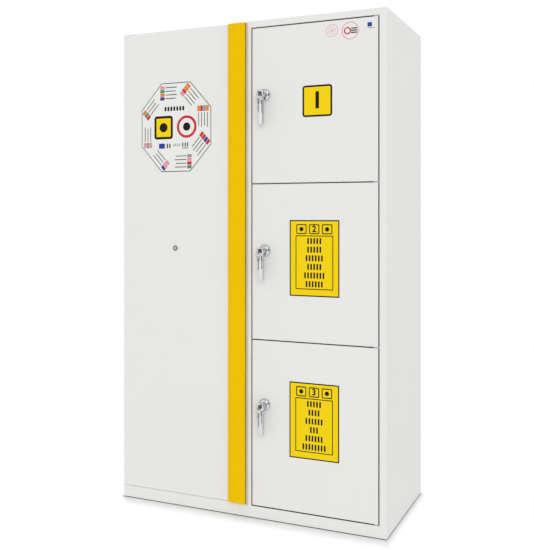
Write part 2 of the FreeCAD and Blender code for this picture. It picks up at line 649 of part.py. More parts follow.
def fire_lock_plug():
    """Turning plug with a keyway in front and a crank behind that drives the bolt."""
    front = -LOCK_ROSETTE_HEIGHT - PLUG_PROUD
    plug = rod(LOCK_PLUG_RADIUS, V(FIRE_LOCK_X, front, FIRE_LOCK_Z), Y_AXIS, CRANK_Y - front)
    keyway = box(FIRE_LOCK_X - KEYWAY_WIDTH / 2, FIRE_LOCK_X + KEYWAY_WIDTH / 2, front, front + KEYWAY_DEPTH,
                 FIRE_LOCK_Z - KEYWAY_HEIGHT / 2, FIRE_LOCK_Z + KEYWAY_HEIGHT / 2)
    crank = rod(CRANK_RADIUS, V(FIRE_LOCK_X, CRANK_Y, FIRE_LOCK_Z), Y_AXIS, CRANK_SHEET)
    offset = CRANK_THROW / math.sqrt(2)
    pin = rod(CRANK_PIN_RADIUS, V(FIRE_LOCK_X - offset, CRANK_Y, FIRE_LOCK_Z + offset), Y_AXIS,
              CRANK_SHEET + SOFT_CLEARANCE + BOLT_THICKNESS)
    return plug.cut(keyway).fuse([crank, pin]).removeSplitter()


def fire_lock_bolt():
    """Flat bolt whose upright slot takes the crank pin."""
    bar = bolt_space(FIRE_LOCK_X, FIRE_DOOR_X1 - BOLT_END_INSET, 0)
    offset = CRANK_THROW / math.sqrt(2)
    half_slot = CRANK_PIN_RADIUS + BOLT_SLOT_PLAY
    slot_x = FIRE_LOCK_X - offset
    yoke = box(slot_x - YOKE_MARGIN, FIRE_LOCK_X + YOKE_MARGIN, BOLT_Y, BOLT_Y + BOLT_THICKNESS,
               FIRE_LOCK_Z - BOLT_HEIGHT / 2, FIRE_LOCK_Z + CRANK_THROW + YOKE_MARGIN)
    slot = box(slot_x - half_slot, slot_x + half_slot, BOLT_Y, BOLT_Y + BOLT_THICKNESS,
               FIRE_LOCK_Z + offset - half_slot, FIRE_LOCK_Z + CRANK_THROW + half_slot)
    return bar.fuse(yoke).removeSplitter().cut(slot)


def fire_hinge_plates():
    """Plates with the pivot pins that carry the fire door, at the plinth and on the roof."""
    x1 = FIRE_PIVOT_INSET + 2 * HINGE_PLATE_HALF
    y0 = FIRE_PIVOT_DEPTH - HINGE_PLATE_HALF
    low_plate = box(0, x1, y0, COLLAR_FRONT, PLINTH_TOP, PLINTH_TOP + DOOR_GAP / 2)
    washer_top = FIRE_DOOR_Z0 - RUNNING
    washer = vertical_rod(FIRE_BUSH_RADIUS, FIRE_PIVOT_INSET, FIRE_PIVOT_DEPTH, PLINTH_TOP, washer_top)
    low_pin = vertical_rod(FIRE_PIN_RADIUS, FIRE_PIVOT_INSET, FIRE_PIVOT_DEPTH, PLINTH_TOP,
                           FIRE_DOOR_Z0 + FIRE_PIN_REACH)
    low = low_plate.fuse([washer, low_pin]).removeSplitter()
    high_plate = box(0, x1, y0, COLLAR_FRONT + 2 * HINGE_PLATE_HALF, HEIGHT, HEIGHT + HINGE_PLATE)
    high_pin = vertical_rod(FIRE_PIN_RADIUS, FIRE_PIVOT_INSET, FIRE_PIVOT_DEPTH,
                            FIRE_DOOR_Z1 - FIRE_PIN_REACH, HEIGHT + HINGE_PLATE)
    high = high_plate.fuse(high_pin).removeSplitter()
    return Part.makeCompound([low, high])


# ---- Right section ----
def door_stop_frame():
    """Lip behind the doors' edges, with a flange that laps the stiles and rails."""
    outer = box(FRAME_X0, FRAME_X1, STOP_FLANGE, STOP_BACK, FRAME_Z0, FRAME_Z1)
    front = box(FRAME_X0 + SHEET, FRAME_X1 - SHEET, STOP_FLANGE, STOP_DEPTH,
                FRAME_Z0 + SHEET, FRAME_Z1 - SHEET)
    opening = box(FRAME_X0 + STOP_LIP, FRAME_X1 - STOP_LIP, STOP_FLANGE, STOP_BACK,
                  FRAME_Z0 + STOP_LIP, FRAME_Z1 - STOP_LIP)
    return outer.cut(front).cut(opening)


def compartment_dividers():
    """A sheet between two compartments, and the stop bar welded along its front edge."""
    solids = []
    plate_back = COLLAR_BACK + STILE_LAP
    for z in DIVIDER_HEIGHTS:
        z0 = z - SHEET / 2
        z1 = z + SHEET / 2
        sheet = box(ROOM_X0 + SHEET, ROOM_X1, STOP_BACK, BACK_INNER, z0, z1)
        duct = box(DUCT_X0, DUCT_X1, DUCT_FRONT, BACK_INNER, z0, z1)
        plate = box(ROOM_X0, ROOM_X0 + 2 * SHEET, STOP_BACK, plate_back, z0, z1)
        solids.append(sheet.cut(duct).cut(plate))
        solids.append(box(FRAME_X0 + STOP_LIP, FRAME_X1 - STOP_LIP, STOP_DEPTH, STOP_BACK,
                          z - STOP_LIP, z + STOP_LIP))
    return Part.makeCompound(solids)


def shelf_rails():
    """Angle rails on both walls of each compartment."""
    rails = []
    y0 = COLLAR_BACK + STILE_LAP
    for floor in COMPARTMENT_FLOORS:
        z = floor + SHELF_RISE - SHELF_SHEET
        for x, side in ((ROOM_X0, 1), (ROOM_X1, -1)):
            ends = sorted((x, x + side * SHELF_RAIL))
            wall = sorted((x, x + side * SHEET))
            ledge = box(ends[0], ends[1], y0, SHELF_BACK, z - SHEET, z)
            upright = box(wall[0], wall[1], y0, SHELF_BACK, z - SHELF_RAIL, z)
            rails.append(ledge.fuse(upright).removeSplitter())
    return Part.makeCompound(rails)


def compartment_shelves():
    shelves = []
    x0 = ROOM_X0 + SHELF_SIDE_GAP
    x1 = ROOM_X1 - SHELF_SIDE_GAP
    lip_x0 = ROOM_X0 + SHELF_RAIL + SHELF_SIDE_GAP
    lip_x1 = ROOM_X1 - SHELF_RAIL - SHELF_SIDE_GAP
    y0 = COLLAR_BACK + STILE_LAP
    for floor in COMPARTMENT_FLOORS:
        top = floor + SHELF_RISE
        sheet = box(x0, x1, y0, SHELF_BACK, top - SHELF_SHEET, top)
        front = box(lip_x0, lip_x1, y0, y0 + SHELF_SHEET, top - SHELF_LIP, top)
        back = box(lip_x0, lip_x1, SHELF_BACK - SHELF_SHEET, SHELF_BACK, top - SHELF_LIP, top)
        shelves.append(sheet.fuse([front, back]).removeSplitter())
    return Part.makeCompound(shelves)


def spill_trays():
    trays = []
    for floor in COMPARTMENT_FLOORS:
        trays.append(raised_tray(STILE_X1 + TRAY_MARGIN, ROOM_X1 - TRAY_MARGIN, STOP_BACK + TRAY_MARGIN,
                                 SHELF_BACK, floor, floor + TRAY_HEIGHT, TRAY_WALL))
    return Part.makeCompound(trays)


def vent_duct():
    """Upright duct behind the compartments, with an inlet near each shelf and each floor."""
    duct = box(DUCT_X0, DUCT_X1, DUCT_FRONT, BACK_INNER, FLOOR_TOP, ROOF_UNDER)
    duct = duct.cut(box(DUCT_X0 + SHEET, DUCT_X1 - SHEET, DUCT_FRONT + SHEET, BACK_INNER - SHEET,
                        FLOOR_TOP, ROOF_UNDER))
    inlets = []
    for floor in COMPARTMENT_FLOORS:
        for rise in DUCT_INLET_RISES:
            z = floor + rise
            inlets.append(box(DUCT_X0 + DUCT_INLET_MARGIN, DUCT_X1 - DUCT_INLET_MARGIN,
                              DUCT_FRONT, DUCT_FRONT + SHEET, z, z + DUCT_INLET_HEIGHT))
    return duct.cut(Part.makeCompound(inlets))


def door_pivot_plates():
    """Thin plates in the gaps above and below the doors, with pins for the doors' corners."""
    plates = []
    gaps = (
        (FRAME_Z0, False, True),
        (MIDDLE_Z0 - DOOR_GAP, True, True),
        (UPPER_Z0 - DOOR_GAP, True, True),
        (UPPER_Z1, True, False),
    )
    y0 = DOOR_PIVOT_DEPTH - DOOR_PIN_RADIUS
    x0 = FRAME_X1 - PIVOT_PLATE_LENGTH
    for z, pin_below, pin_above in gaps:
        middle = z + DOOR_GAP / 2
        z0 = middle - PIVOT_PLATE / 2
        z1 = middle + PIVOT_PLATE / 2
        plate = box(x0, FRAME_X1, y0, STOP_FLANGE, z0, z1)
        low = z - DOOR_PIN_REACH if pin_below else z0
        high = z + DOOR_GAP + DOOR_PIN_REACH if pin_above else z1
        pin = vertical_rod(DOOR_PIN_RADIUS, DOOR_PIVOT_X, DOOR_PIVOT_DEPTH, low, high)
        plates.append(plate.fuse(pin).removeSplitter())
    return Part.makeCompound(plates)


# ---- Compartment doors ----
def compartment_door(z0, z1, handle_z):
    """Folded door pan with a bored block in each corner on the hinge side."""
    door = door_pan(DOOR_X0, DOOR_X1, z0, z1, DOOR_THICKNESS - DOOR_SHEET, DOOR_SHEET)
    x0 = DOOR_PIVOT_X - PIVOT_BLOCK_HALF
    x1 = DOOR_X1 - DOOR_SHEET
    y1 = DOOR_PIVOT_DEPTH + PIVOT_BLOCK_HALF
    low = box(x0, x1, DOOR_SHEET, y1, z0, z0 + PIVOT_BLOCK_HEIGHT)
    high = box(x0, x1, DOOR_SHEET, y1, z1 - PIVOT_BLOCK_HEIGHT, z1)
    door = door.fuse([low, high]).removeSplitter()
    bore = DOOR_PIN_RADIUS + RUNNING
    depth = DOOR_PIN_REACH + PIN_END_PLAY
    door = door.cut(vertical_rod(bore, DOOR_PIVOT_X, DOOR_PIVOT_DEPTH, z0, z0 + depth))
    door = door.cut(vertical_rod(bore, DOOR_PIVOT_X, DOOR_PIVOT_DEPTH, z1 - depth, z1))
    return door.cut(rod(SLEEVE_RADIUS, V(HANDLE_X, 0, handle_z), Y_AXIS, DOOR_SHEET))


def door_liner(z0, z1, handle_z):
    liner = box(DOOR_X0, DOOR_X1, DOOR_THICKNESS - DOOR_SHEET, DOOR_THICKNESS, z0, z1)
    hole = rod(SLEEVE_RADIUS, V(HANDLE_X, 0, handle_z), Y_AXIS, DOOR_THICKNESS)
    return liner.cut(hole)


def door_seal(z0, z1):
    return open_frame(DOOR_X0 + SEAL_INSET, DOOR_X1 - SEAL_INSET, z0 + SEAL_INSET, z1 - SEAL_INSET,
                      SEAL_WIDTH, DOOR_THICKNESS, STOP_DEPTH - SOFT_CLEARANCE)


def turned(outline, x, z):
    """A solid turned about the Y axis through (x, z), from (radius, y) points."""
    points = [V(x + radius, y, z) for radius, y in outline]
    face = Part.Face(Part.makePolygon(points + [points[0]]))
    return face.revolve(V(x, 0, z), Y_AXIS, 360)


def handle_rosette(z):
    """Round rosette with a domed shoulder, its sleeve through the door and the nut behind."""
    rim = V(HANDLE_X + ROSETTE_RADIUS, -ROSETTE_RIM, z)
    crown = V(HANDLE_X + HUB_RADIUS, -ROSETTE_HEIGHT, z)
    chord = crown - rim
    outward = V(-chord.y, chord.x, 0).normalize()
    middle = rim + chord / 2 + outward * ROSETTE_BULGE
    bore = HANDLE_X + SPINDLE_RADIUS + RUNNING
    nut = HANDLE_X + BACK_NUT_RADIUS
    back = DOOR_THICKNESS + NUT_HEIGHT
    lines = Part.makePolygon([
        crown,
        V(bore, -ROSETTE_HEIGHT, z),
        V(bore, back, z),
        V(nut, back, z),
        V(nut, DOOR_THICKNESS, z),
        V(HANDLE_X + SLEEVE_RADIUS, DOOR_THICKNESS, z),
        V(HANDLE_X + SLEEVE_RADIUS, 0, z),
        V(HANDLE_X + ROSETTE_RADIUS, 0, z),
        rim,
    ])
    shoulder = Part.Arc(rim, middle, crown).toShape()
    profile = Part.Wire(Part.__sortEdges__([shoulder] + lines.Edges))
    return Part.Face(profile).revolve(V(HANDLE_X, 0, z), Y_AXIS, 360)


def lever_arm(z):
    """Flat arm that narrows to a round tip."""
    y = -ARM_FRONT
    root = ARM_ROOT_WIDTH / 2
    tip = ARM_TIP_WIDTH / 2
    low = z - ARM_LENGTH + tip
    right = V(HANDLE_X + tip, y, low)
    left = V(HANDLE_X - tip, y, low)
    bottom = V(HANDLE_X, y, low - tip)
    edges = [
        Part.makeLine(V(HANDLE_X - root, y, z), V(HANDLE_X + root, y, z)),
        Part.makeLine(V(HANDLE_X + root, y, z), right),
        Part.Arc(right, bottom, left).toShape(),
        Part.makeLine(left, V(HANDLE_X - root, y, z)),
    ]
    arm = Part.Face(Part.Wire(edges)).extrude(Y_AXIS * ARM_THICKNESS)
    rims = []
    for edge in front_edges(arm, y) + front_edges(arm, y + ARM_THICKNESS):
        if edge.BoundBox.ZMin < z - 1e-6:
            rims.append(edge)
    return arm.makeFillet(ARM_EDGE, rims)


def lever(z):
    """L-handle: hub with the bore for the plug, spindle with a threaded tail, and the arm."""
    hub_back = -HUB_FRONT + HUB_LENGTH
    neck_front = -ROSETTE_HEIGHT - NECK_GAP
    outline = [
        (0.0, -HUB_FRONT),
        (HUB_RADIUS - HUB_EDGE, -HUB_FRONT),
        (HUB_RADIUS, -HUB_FRONT + HUB_EDGE),
        (HUB_RADIUS, hub_back),
        (SLEEVE_RADIUS, neck_front),
        (SPINDLE_RADIUS, neck_front),
        (SPINDLE_RADIUS, CAM_DEPTH),
        (TAIL_RADIUS, CAM_DEPTH),
        (TAIL_RADIUS, CAM_DEPTH + CAM_SHEET + NUT_HEIGHT),
        (0.0, CAM_DEPTH + CAM_SHEET + NUT_HEIGHT),
    ]
    body = turned(outline, HANDLE_X, z).fuse(lever_arm(z)).removeSplitter()
    return body.cut(rod(PLUG_RADIUS + RUNNING, V(HANDLE_X, -HUB_FRONT, z), Y_AXIS, PLUG_LENGTH))


def latch_cam(z):
    """Cam plate and nut on the spindle's tail; it points up while the door is free."""
    half = CAM_WIDTH / 2
    plate = box(HANDLE_X - half, HANDLE_X + half, CAM_DEPTH, CAM_DEPTH + CAM_SHEET, z, z + CAM_LENGTH)
    root = rod(half, V(HANDLE_X, CAM_DEPTH, z), Y_AXIS, CAM_SHEET)
    hole = rod(TAIL_RADIUS, V(HANDLE_X, CAM_DEPTH, z), Y_AXIS, CAM_SHEET + NUT_HEIGHT)
    hexagon = []
    for i in range(7):
        angle = math.radians(60 * i)
        hexagon.append(V(HANDLE_X + NUT_RADIUS * math.cos(angle), CAM_DEPTH + CAM_SHEET,
                         z + NUT_RADIUS * math.sin(angle)))
    nut = Part.Face(Part.makePolygon(hexagon)).extrude(Y_AXIS * NUT_HEIGHT)
    return Part.makeCompound([plate.fuse(root).removeSplitter().cut(hole), nut.cut(hole)])


def key_and_plug(z):
    """Cylinder plug with the key in it; the key's bow stands upright in front."""
    plug = rod(PLUG_RADIUS, V(HANDLE_X, -HUB_FRONT - PLUG_PROUD, z), Y_AXIS, PLUG_LENGTH)
    x0 = HANDLE_X - KEY_SHEET / 2
    x1 = HANDLE_X + KEY_SHEET / 2
    blade = box(x0, x1, -KEY_BOW_Y, -HUB_FRONT + KEY_INSERTED, z - KEY_BLADE / 2, z + KEY_BLADE / 2)
    bow = rod(KEY_BOW_RADIUS, V(x0, -KEY_BOW_Y, z), X_AXIS, KEY_SHEET)
    bow = bow.cut(box(x0, x1, -HUB_FRONT - KEY_SHOULDER_GAP, 0, z - HUB_RADIUS, z + HUB_RADIUS))
    hole = rod(KEY_HOLE_RADIUS, V(x0, -KEY_HOLE_Y, z), X_AXIS, KEY_SHEET)
    key = blade.fuse(bow).removeSplitter().cut(hole)
    return Part.makeCompound([plug.cut(blade), key])


def spare_key(z):
    """Flat split ring in the key's bow, and the spare key that hangs from it."""
    x0 = HANDLE_X - KEY_SHEET / 2
    ring_start = V(HANDLE_X, -KEY_HOLE_Y - RING_WIRE / 2, z - RING_CENTRE_DROP)
    ring = rod(RING_INNER_RADIUS + RING_WIRE, ring_start, Y_AXIS, RING_WIRE)
    ring = ring.cut(rod(RING_INNER_RADIUS, ring_start, Y_AXIS, RING_WIRE))
    hole_z = z - SPARE_HOLE_DROP
    bow_z = hole_z - SPARE_BOW_RADIUS + KEY_HOLE_RADIUS + SPARE_BOW_RIM
    tip_z = bow_z + SPARE_BOW_RADIUS - SPARE_LENGTH
    back = -KEY_HOLE_Y + KEY_BLADE / 2
    front = -KEY_HOLE_Y - KEY_BLADE / 2
    bow = rod(SPARE_BOW_RADIUS, V(x0, -KEY_HOLE_Y, bow_z), X_AXIS, KEY_SHEET)
    outline = [V(x0, back, bow_z), V(x0, back, tip_z + KEY_BLADE / 2), V(x0, -KEY_HOLE_Y, tip_z)]
    for i, depth in enumerate(KEY_CUTS):
        low = tip_z + KEY_BLADE / 2 + i * KEY_CUT_PITCH
        outline.append(V(x0, front, low))
        outline.append(V(x0, front + depth, low + KEY_CUT_PITCH / 2))
    outline.append(V(x0, front, tip_z + KEY_BLADE / 2 + len(KEY_CUTS) * KEY_CUT_PITCH))
    outline += [V(x0, front, bow_z), V(x0, back, bow_z)]
    blade = Part.Face(Part.makePolygon(outline)).extrude(X_AXIS * KEY_SHEET)
    hole = rod(KEY_HOLE_RADIUS, V(x0, -KEY_HOLE_Y, hole_z), X_AXIS, KEY_SHEET)
    return Part.makeCompound([ring, bow.fuse(blade).removeSplitter().cut(hole)])


# ---- Roof and floor fittings ----
def exhaust_spigots():
    spigots = []
    top = HEIGHT + SPIGOT_HEIGHT
    for x, y, low in ((FIRE_SPIGOT_X, FIRE_SPIGOT_Y, FIRE_Z1), (DUCT_X, DUCT_Y, ROOF_UNDER)):
        tube = vertical_rod(SPIGOT_RADIUS, x, y, low, top)
        flange = vertical_rod(SPIGOT_RADIUS + SPIGOT_FLANGE, x, y, HEIGHT, HEIGHT + SPIGOT_WALL)
        bore = vertical_rod(SPIGOT_RADIUS - SPIGOT_WALL, x, y, low, top)
        spigots.append(tube.fuse(flange).removeSplitter().cut(bore))
    return Part.makeCompound(spigots)


def levelling_feet():
    feet = []
    for x in (FOOT_INSET_X, WIDTH - FOOT_INSET_X):
        for y in (FOOT_INSET_FRONT, DEPTH - FOOT_INSET_BACK):
            pad = vertical_rod(FOOT_RADIUS, x, y, 0, FOOT_PAD)
            rim = [edge for edge in pad.Edges if edge.BoundBox.ZMin > FOOT_PAD - 1e-6]
            pad = pad.makeChamfer(FOOT_CHAMFER, rim)
            stud = vertical_rod(FOOT_STUD_RADIUS, x, y, 0, PLINTH_TOP)
            nut = vertical_rod(FOOT_NUT_RADIUS, x, y, PLINTH_TOP - FOOT_NUT_HEIGHT, PLINTH_TOP)
            feet.append(pad.fuse([stud, nut]).removeSplitter())
    return Part.makeCompound(feet)


# ---- All nodes ----
def build():
    nodes = {
        "side_panel_left": side_panel_left(),
        "side_panel_right": side_panel_right(),
        "centre_stile": centre_stile(),
        "roof_panel": roof_panel(),
        "plinth_panel": plinth_panel(),
        "floor_panel": floor_panel(),
        "back_panel": back_panel(),
        "partition_panel": partition_panel(),
        "insulation_boards": fire_boards(0, INSULATION, BOARD_FRONT),
        "lining_boards": fire_boards(INSULATION, LINING, COLLAR_BACK),
        "front_collar": front_collar(),
        "intumescent_strip": intumescent_strip(),
        "shelf_uprights": shelf_uprights(),
        "shelf_clips": shelf_clips(),
        "fire_shelves": fire_shelves(),
        "sump_tray": sump_tray(),
        "sump_grid": sump_grid(),
        "fire_door_skin": fire_door_skin(),
        "fire_door_core": fire_door_core(),
        "fire_door_liner": fire_door_liner(),
        "fire_door_bushes": fire_door_bushes(),
        "fire_door_grip_strip": fire_door_grip_strip(),
        "fire_door_gasket": fire_door_gasket(),
        "fire_lock_case": fire_lock_case(),
        "fire_lock_plug": fire_lock_plug(),
        "fire_lock_bolt": fire_lock_bolt(),
        "fire_hinge_plates": fire_hinge_plates(),
        "door_stop_frame": door_stop_frame(),
        "compartment_dividers": compartment_dividers(),
        "shelf_rails": shelf_rails(),
        "compartment_shelves": compartment_shelves(),
        "spill_trays": spill_trays(),
        "vent_duct": vent_duct(),
        "door_pivot_plates": door_pivot_plates(),
        "exhaust_spigots": exhaust_spigots(),
        "levelling_feet": levelling_feet(),
    }
    for name, (z0, z1, handle_z) in DOORS.items():
        nodes["door_" + name] = compartment_door(z0, z1, handle_z)
        nodes["door_liner_" + name] = door_liner(z0, z1, handle_z)
        nodes["door_seal_" + name] = door_seal(z0, z1)
        nodes["rosette_" + name] = handle_rosette(handle_z)
        nodes["lever_" + name] = lever(handle_z)
        nodes["cam_" + name] = latch_cam(handle_z)
        nodes["key_" + name] = key_and_plug(handle_z)
        nodes["spare_key_" + name] = spare_key(handle_z)
    return nodes


def place_and_export(nodes):
    os.makedirs("parts", exist_ok=True)
    for name, shape in nodes.items():
        shape.translate(ORIGIN_SHIFT)
        shape.exportStep("parts/" + name + ".step")


NODES = build()
place_and_export(NODES)
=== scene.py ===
import math

import bmesh
import bpy
from mathutils import Matrix, Vector


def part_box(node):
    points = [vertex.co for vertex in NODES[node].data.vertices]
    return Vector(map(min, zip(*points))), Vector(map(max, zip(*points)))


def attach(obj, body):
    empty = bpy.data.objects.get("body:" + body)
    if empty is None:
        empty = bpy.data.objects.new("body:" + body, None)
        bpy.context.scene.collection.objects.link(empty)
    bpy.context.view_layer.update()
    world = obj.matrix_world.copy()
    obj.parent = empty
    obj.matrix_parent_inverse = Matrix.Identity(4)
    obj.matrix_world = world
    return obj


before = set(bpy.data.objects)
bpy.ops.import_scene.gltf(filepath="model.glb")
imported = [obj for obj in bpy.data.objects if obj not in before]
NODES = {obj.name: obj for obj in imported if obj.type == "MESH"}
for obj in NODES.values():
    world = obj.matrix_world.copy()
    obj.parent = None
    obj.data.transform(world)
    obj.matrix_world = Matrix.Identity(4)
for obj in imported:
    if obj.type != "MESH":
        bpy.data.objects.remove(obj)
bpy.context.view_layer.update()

# The finish of a combination chemical safety cabinet: powder-coated steel, a yellow grip strip,
# chromed L-handles with keys, and printed plates on the doors. Metres.

MM = 0.001

# Main places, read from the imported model
DOOR_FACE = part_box("door_upper")[0].y
CABINET_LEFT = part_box("front_collar")[0].x
CABINET_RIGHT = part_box("side_panel_right")[1].x
FRONT_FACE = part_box("side_panel_right")[0].y
BACK_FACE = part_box("side_panel_right")[1].y
ROOF_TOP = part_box("roof_panel")[1].z
COMPARTMENTS = ("lower", "middle", "upper")

# Sizes of the finish and the studio
DUST_HEIGHT = 0.09
FLOOR_REACH = 12.0
FLOOR_SHINE = 0.35
SHADOW_REACH = 0.085

# The camera stands level, to the right of the cabinet
CAMERA_PLACE = (1.358656, -3.096838, 1.192464)
CAMERA_TURN = 23.892
CAMERA_LENS = 52.57
CAMERA_SHIFT = -0.1108


def srgb(red, green, blue):
    """A colour from its 0 to 255 screen values, as the linear colour that the shaders take."""
    linear = []
    for value in (red, green, blue):
        c = value / 255
        linear.append(c / 12.92 if c <= 0.04045 else ((c + 0.055) / 1.055) ** 2.4)
    return (*linear, 1.0)


def darker(colour, share):
    """A colour at that share of its brightness."""
    return tuple(channel * share for channel in colour[:3]) + (1.0,)


def new_object(name, data):
    """An object for a mesh, curve, lamp or camera, linked to the scene."""
    made = bpy.data.objects.new(name, data)
    bpy.context.scene.collection.objects.link(made)
    return made


def plain_mesh(carrier):
    """The shape that a curve or a modifier makes, as a plain mesh; the carrier is removed."""
    bpy.context.view_layer.update()
    depsgraph = bpy.context.evaluated_depsgraph_get()
    made = bpy.data.meshes.new_from_object(carrier.evaluated_get(depsgraph))
    bpy.data.objects.remove(carrier)
    return made


# ---- Shader maths ----
class Amount:
    """One number output of a node; arithmetic on it adds Math nodes."""

    def __init__(self, finish, socket):
        self.finish = finish
        self.socket = socket

    def math(self, operation, first, second):
        return self.finish.node("ShaderNodeMath", {"operation": operation}, {0: first, 1: second})

    def __add__(self, other):
        return self.math("ADD", self, other)

    def __radd__(self, other):
        return self.math("ADD", other, self)

    def __sub__(self, other):
        return self.math("SUBTRACT", self, other)

    def __rsub__(self, other):
        return self.math("SUBTRACT", other, self)

    def __mul__(self, other):
        return self.math("MULTIPLY", self, other)

    def __rmul__(self, other):
        return self.math("MULTIPLY", other, self)

    def __truediv__(self, other):
        return self.math("DIVIDE", self, other)

    def at_least(self, other):
        return self.math("MAXIMUM", self, other)

    def over(self, other):
        return self.math("GREATER_THAN", self, other)


class Finish:
    """A procedural material built around one Principled shader."""

    def __init__(self, name, base, roughness, metallic=0.0):
        self.material = bpy.data.materials.new(name)
        self.material.use_nodes = True
        self.material.diffuse_color = base
        self.tree = self.material.node_tree
        self.shader = self.tree.nodes["Principled BSDF"]
        self.base = base
        self.set("Base Color", base)
        self.set("Roughness", roughness)
        self.set("Metallic", metallic)

    def node(self, kind, settings, values, output=0):
        """Adds a node: its settings first, then the values or links of its sockets."""
        node = self.tree.nodes.new(kind)
        for key, value in settings.items():
            setattr(node, key, value)
        for key, value in values.items():
            self.feed(node.inputs[key], value)
        return Amount(self, node.outputs[output])

    def feed(self, socket, value):
        if isinstance(value, Amount):
            self.tree.links.new(value.socket, socket)
        else:
            socket.default_value = value

    def set(self, socket_name, value):
        """Gives one socket of the shader a value or a link."""
        self.feed(self.shader.inputs[socket_name], value)

    def place(self, scale=(1, 1, 1)):
        """Object coordinates, stretched by scale."""
        where = self.node("ShaderNodeTexCoord", {}, {}, "Object")
        return self.node("ShaderNodeMapping", {}, {"Vector": where, "Scale": scale})

    def coordinate(self, axis):
        """One object coordinate, in metres."""
        where = self.node("ShaderNodeTexCoord", {}, {}, "Object")
        return self.node("ShaderNodeSeparateXYZ", {}, {"Vector": where}, axis)

    def noise(self, size, detail=2.0, stretch=(1, 1, 1)):
        """Soft noise from 0 to 1 whose patches are about size metres across."""
        values = {"Vector": self.place(stretch), "Scale": 1 / size, "Detail": detail}
        return self.node("ShaderNodeTexNoise", {}, values, "Fac")

    def tint(self, amount, other):
        """Mixes the base colour towards another colour by amount."""
        mixed = self.node(
            "ShaderNodeMix", {"data_type": "RGBA"}, {0: amount, 6: self.base, 7: other}, 2
        )
        self.set("Base Color", mixed)

    def bump(self, height, distance, strength=1.0):
        """Relief from height, a number from 0 to about 1, that is distance metres deep."""
        values = {"Height": height, "Distance": distance, "Strength": strength}
        self.set("Normal", self.node("ShaderNodeBump", {}, values))


# ---- Finishes ----
def powder_coat(name, base, roughness, dust=0.12, gloss=0.35):
    """Baked powder coat: fine orange peel, a faint cloudiness and a little dust near the floor."""
    coat = Finish(name, base, roughness)
    peel = coat.noise(2.2 * MM, detail=1.0)
    dimple = coat.noise(0.25, detail=1.5)
    coat.bump(peel + dimple * 2.0, 0.02 * MM, 0.35)
    cloud = coat.noise(0.18, detail=3.0)
    near_floor = (1.0 - coat.coordinate("Z") / DUST_HEIGHT).at_least(0.0)
    grime = near_floor * coat.noise(0.03, detail=4.0) * dust
    coat.tint((cloud - 0.4).at_least(0.0) * 0.25 + grime, darker(base, 0.93))
    coat.set("Roughness", coat.noise(0.05, detail=2.0) * 0.06 + (roughness - 0.03))
    coat.shader.inputs["Specular IOR Level"].default_value = gloss
    return coat.material


def chrome(name, base, roughness):
    """Polished plating with faint smears from hands."""
    plate = Finish(name, base, roughness, metallic=1.0)
    smear = plate.noise(6 * MM, detail=3.0)
    plate.set("Roughness", (smear - 0.45).at_least(0.0) * 0.35 + roughness)
    plate.bump(plate.noise(9 * MM, detail=1.0), 0.05 * MM, 0.2)
    return plate.material


def brushed_metal(name, base, roughness, grain=(1, 12, 1)):
    """Plated metal with fine lines along one direction and duller patches."""
    metal = Finish(name, base, roughness, metallic=1.0)
    lines = metal.noise(0.5 * MM, detail=2.0, stretch=grain)
    patch = metal.noise(8 * MM, detail=3.0)
    metal.tint(patch * 0.5, darker(base, 0.72))
    metal.set("Roughness", lines * 0.18 + patch * 0.12 + (roughness - 0.12))
    metal.bump(lines, 0.02 * MM, 0.4)
    return metal.material


def board(name, base, speck):
    """Pressed mineral board: fibrous, dusty and slightly pitted."""
    body = Finish(name, base, 0.85)
    fibre = body.noise(1.6 * MM, detail=5.0, stretch=(1, 1, 6))
    pits = body.noise(5 * MM, detail=3.0)
    body.tint((fibre - 0.45).at_least(0.0) * 2.0, speck)
    body.bump(fibre + pits, 0.3 * MM, 0.7)
    return body.material


def laminate(name, base):
    """Melamine-faced board with a fine pearl grain."""
    face = Finish(name, base, 0.35)
    grain = face.noise(0.7 * MM, detail=2.0)
    face.tint((grain - 0.5).at_least(0.0) * 0.5, srgb(206, 206, 202))
    face.bump(grain, 0.03 * MM, 0.5)
    return face.material


def rubber(name, base, sparkle=0.0):
    """Moulded rubber with a dull bloom; sparkle adds graphite flakes."""
    skin = Finish(name, base, 0.75)
    bloom = skin.noise(12 * MM, detail=4.0)
    flake = skin.noise(0.6 * MM, detail=1.0)
    pale = (bloom - 0.45).at_least(0.0) * 0.8 + (flake - 0.62).at_least(0.0) * sparkle
    skin.tint(pale, srgb(96, 96, 98))
    skin.bump(flake, 0.05 * MM, 0.6)
    return skin.material


def moulded_plastic(name, base, roughness):
    """Moulded plastic with a fine spark-eroded texture."""
    skin = Finish(name, base, roughness)
    texture = skin.noise(0.8 * MM, detail=2.0)
    cloud = skin.noise(0.06, detail=2.0)
    skin.tint((cloud - 0.4).at_least(0.0) * 0.4, darker(base, 0.88))
    skin.bump(texture, 0.04 * MM, 0.6)
    skin.set("Roughness", texture * 0.1 + (roughness - 0.05))
    return skin.material


def vinyl(name, base):
    """Printed vinyl film: a faint print grain and soft waves from laying it down."""
    film = Finish(name, base, 0.38)
    grain = film.noise(0.9 * MM, detail=2.0)
    wave = film.noise(0.05, detail=1.0)
    film.tint((grain - 0.5).at_least(0.0) * 0.35, darker(base, 0.86))
    film.bump(wave, 0.05 * MM, 0.25)
    film.shader.inputs["Specular IOR Level"].default_value = 0.08
    return film.material


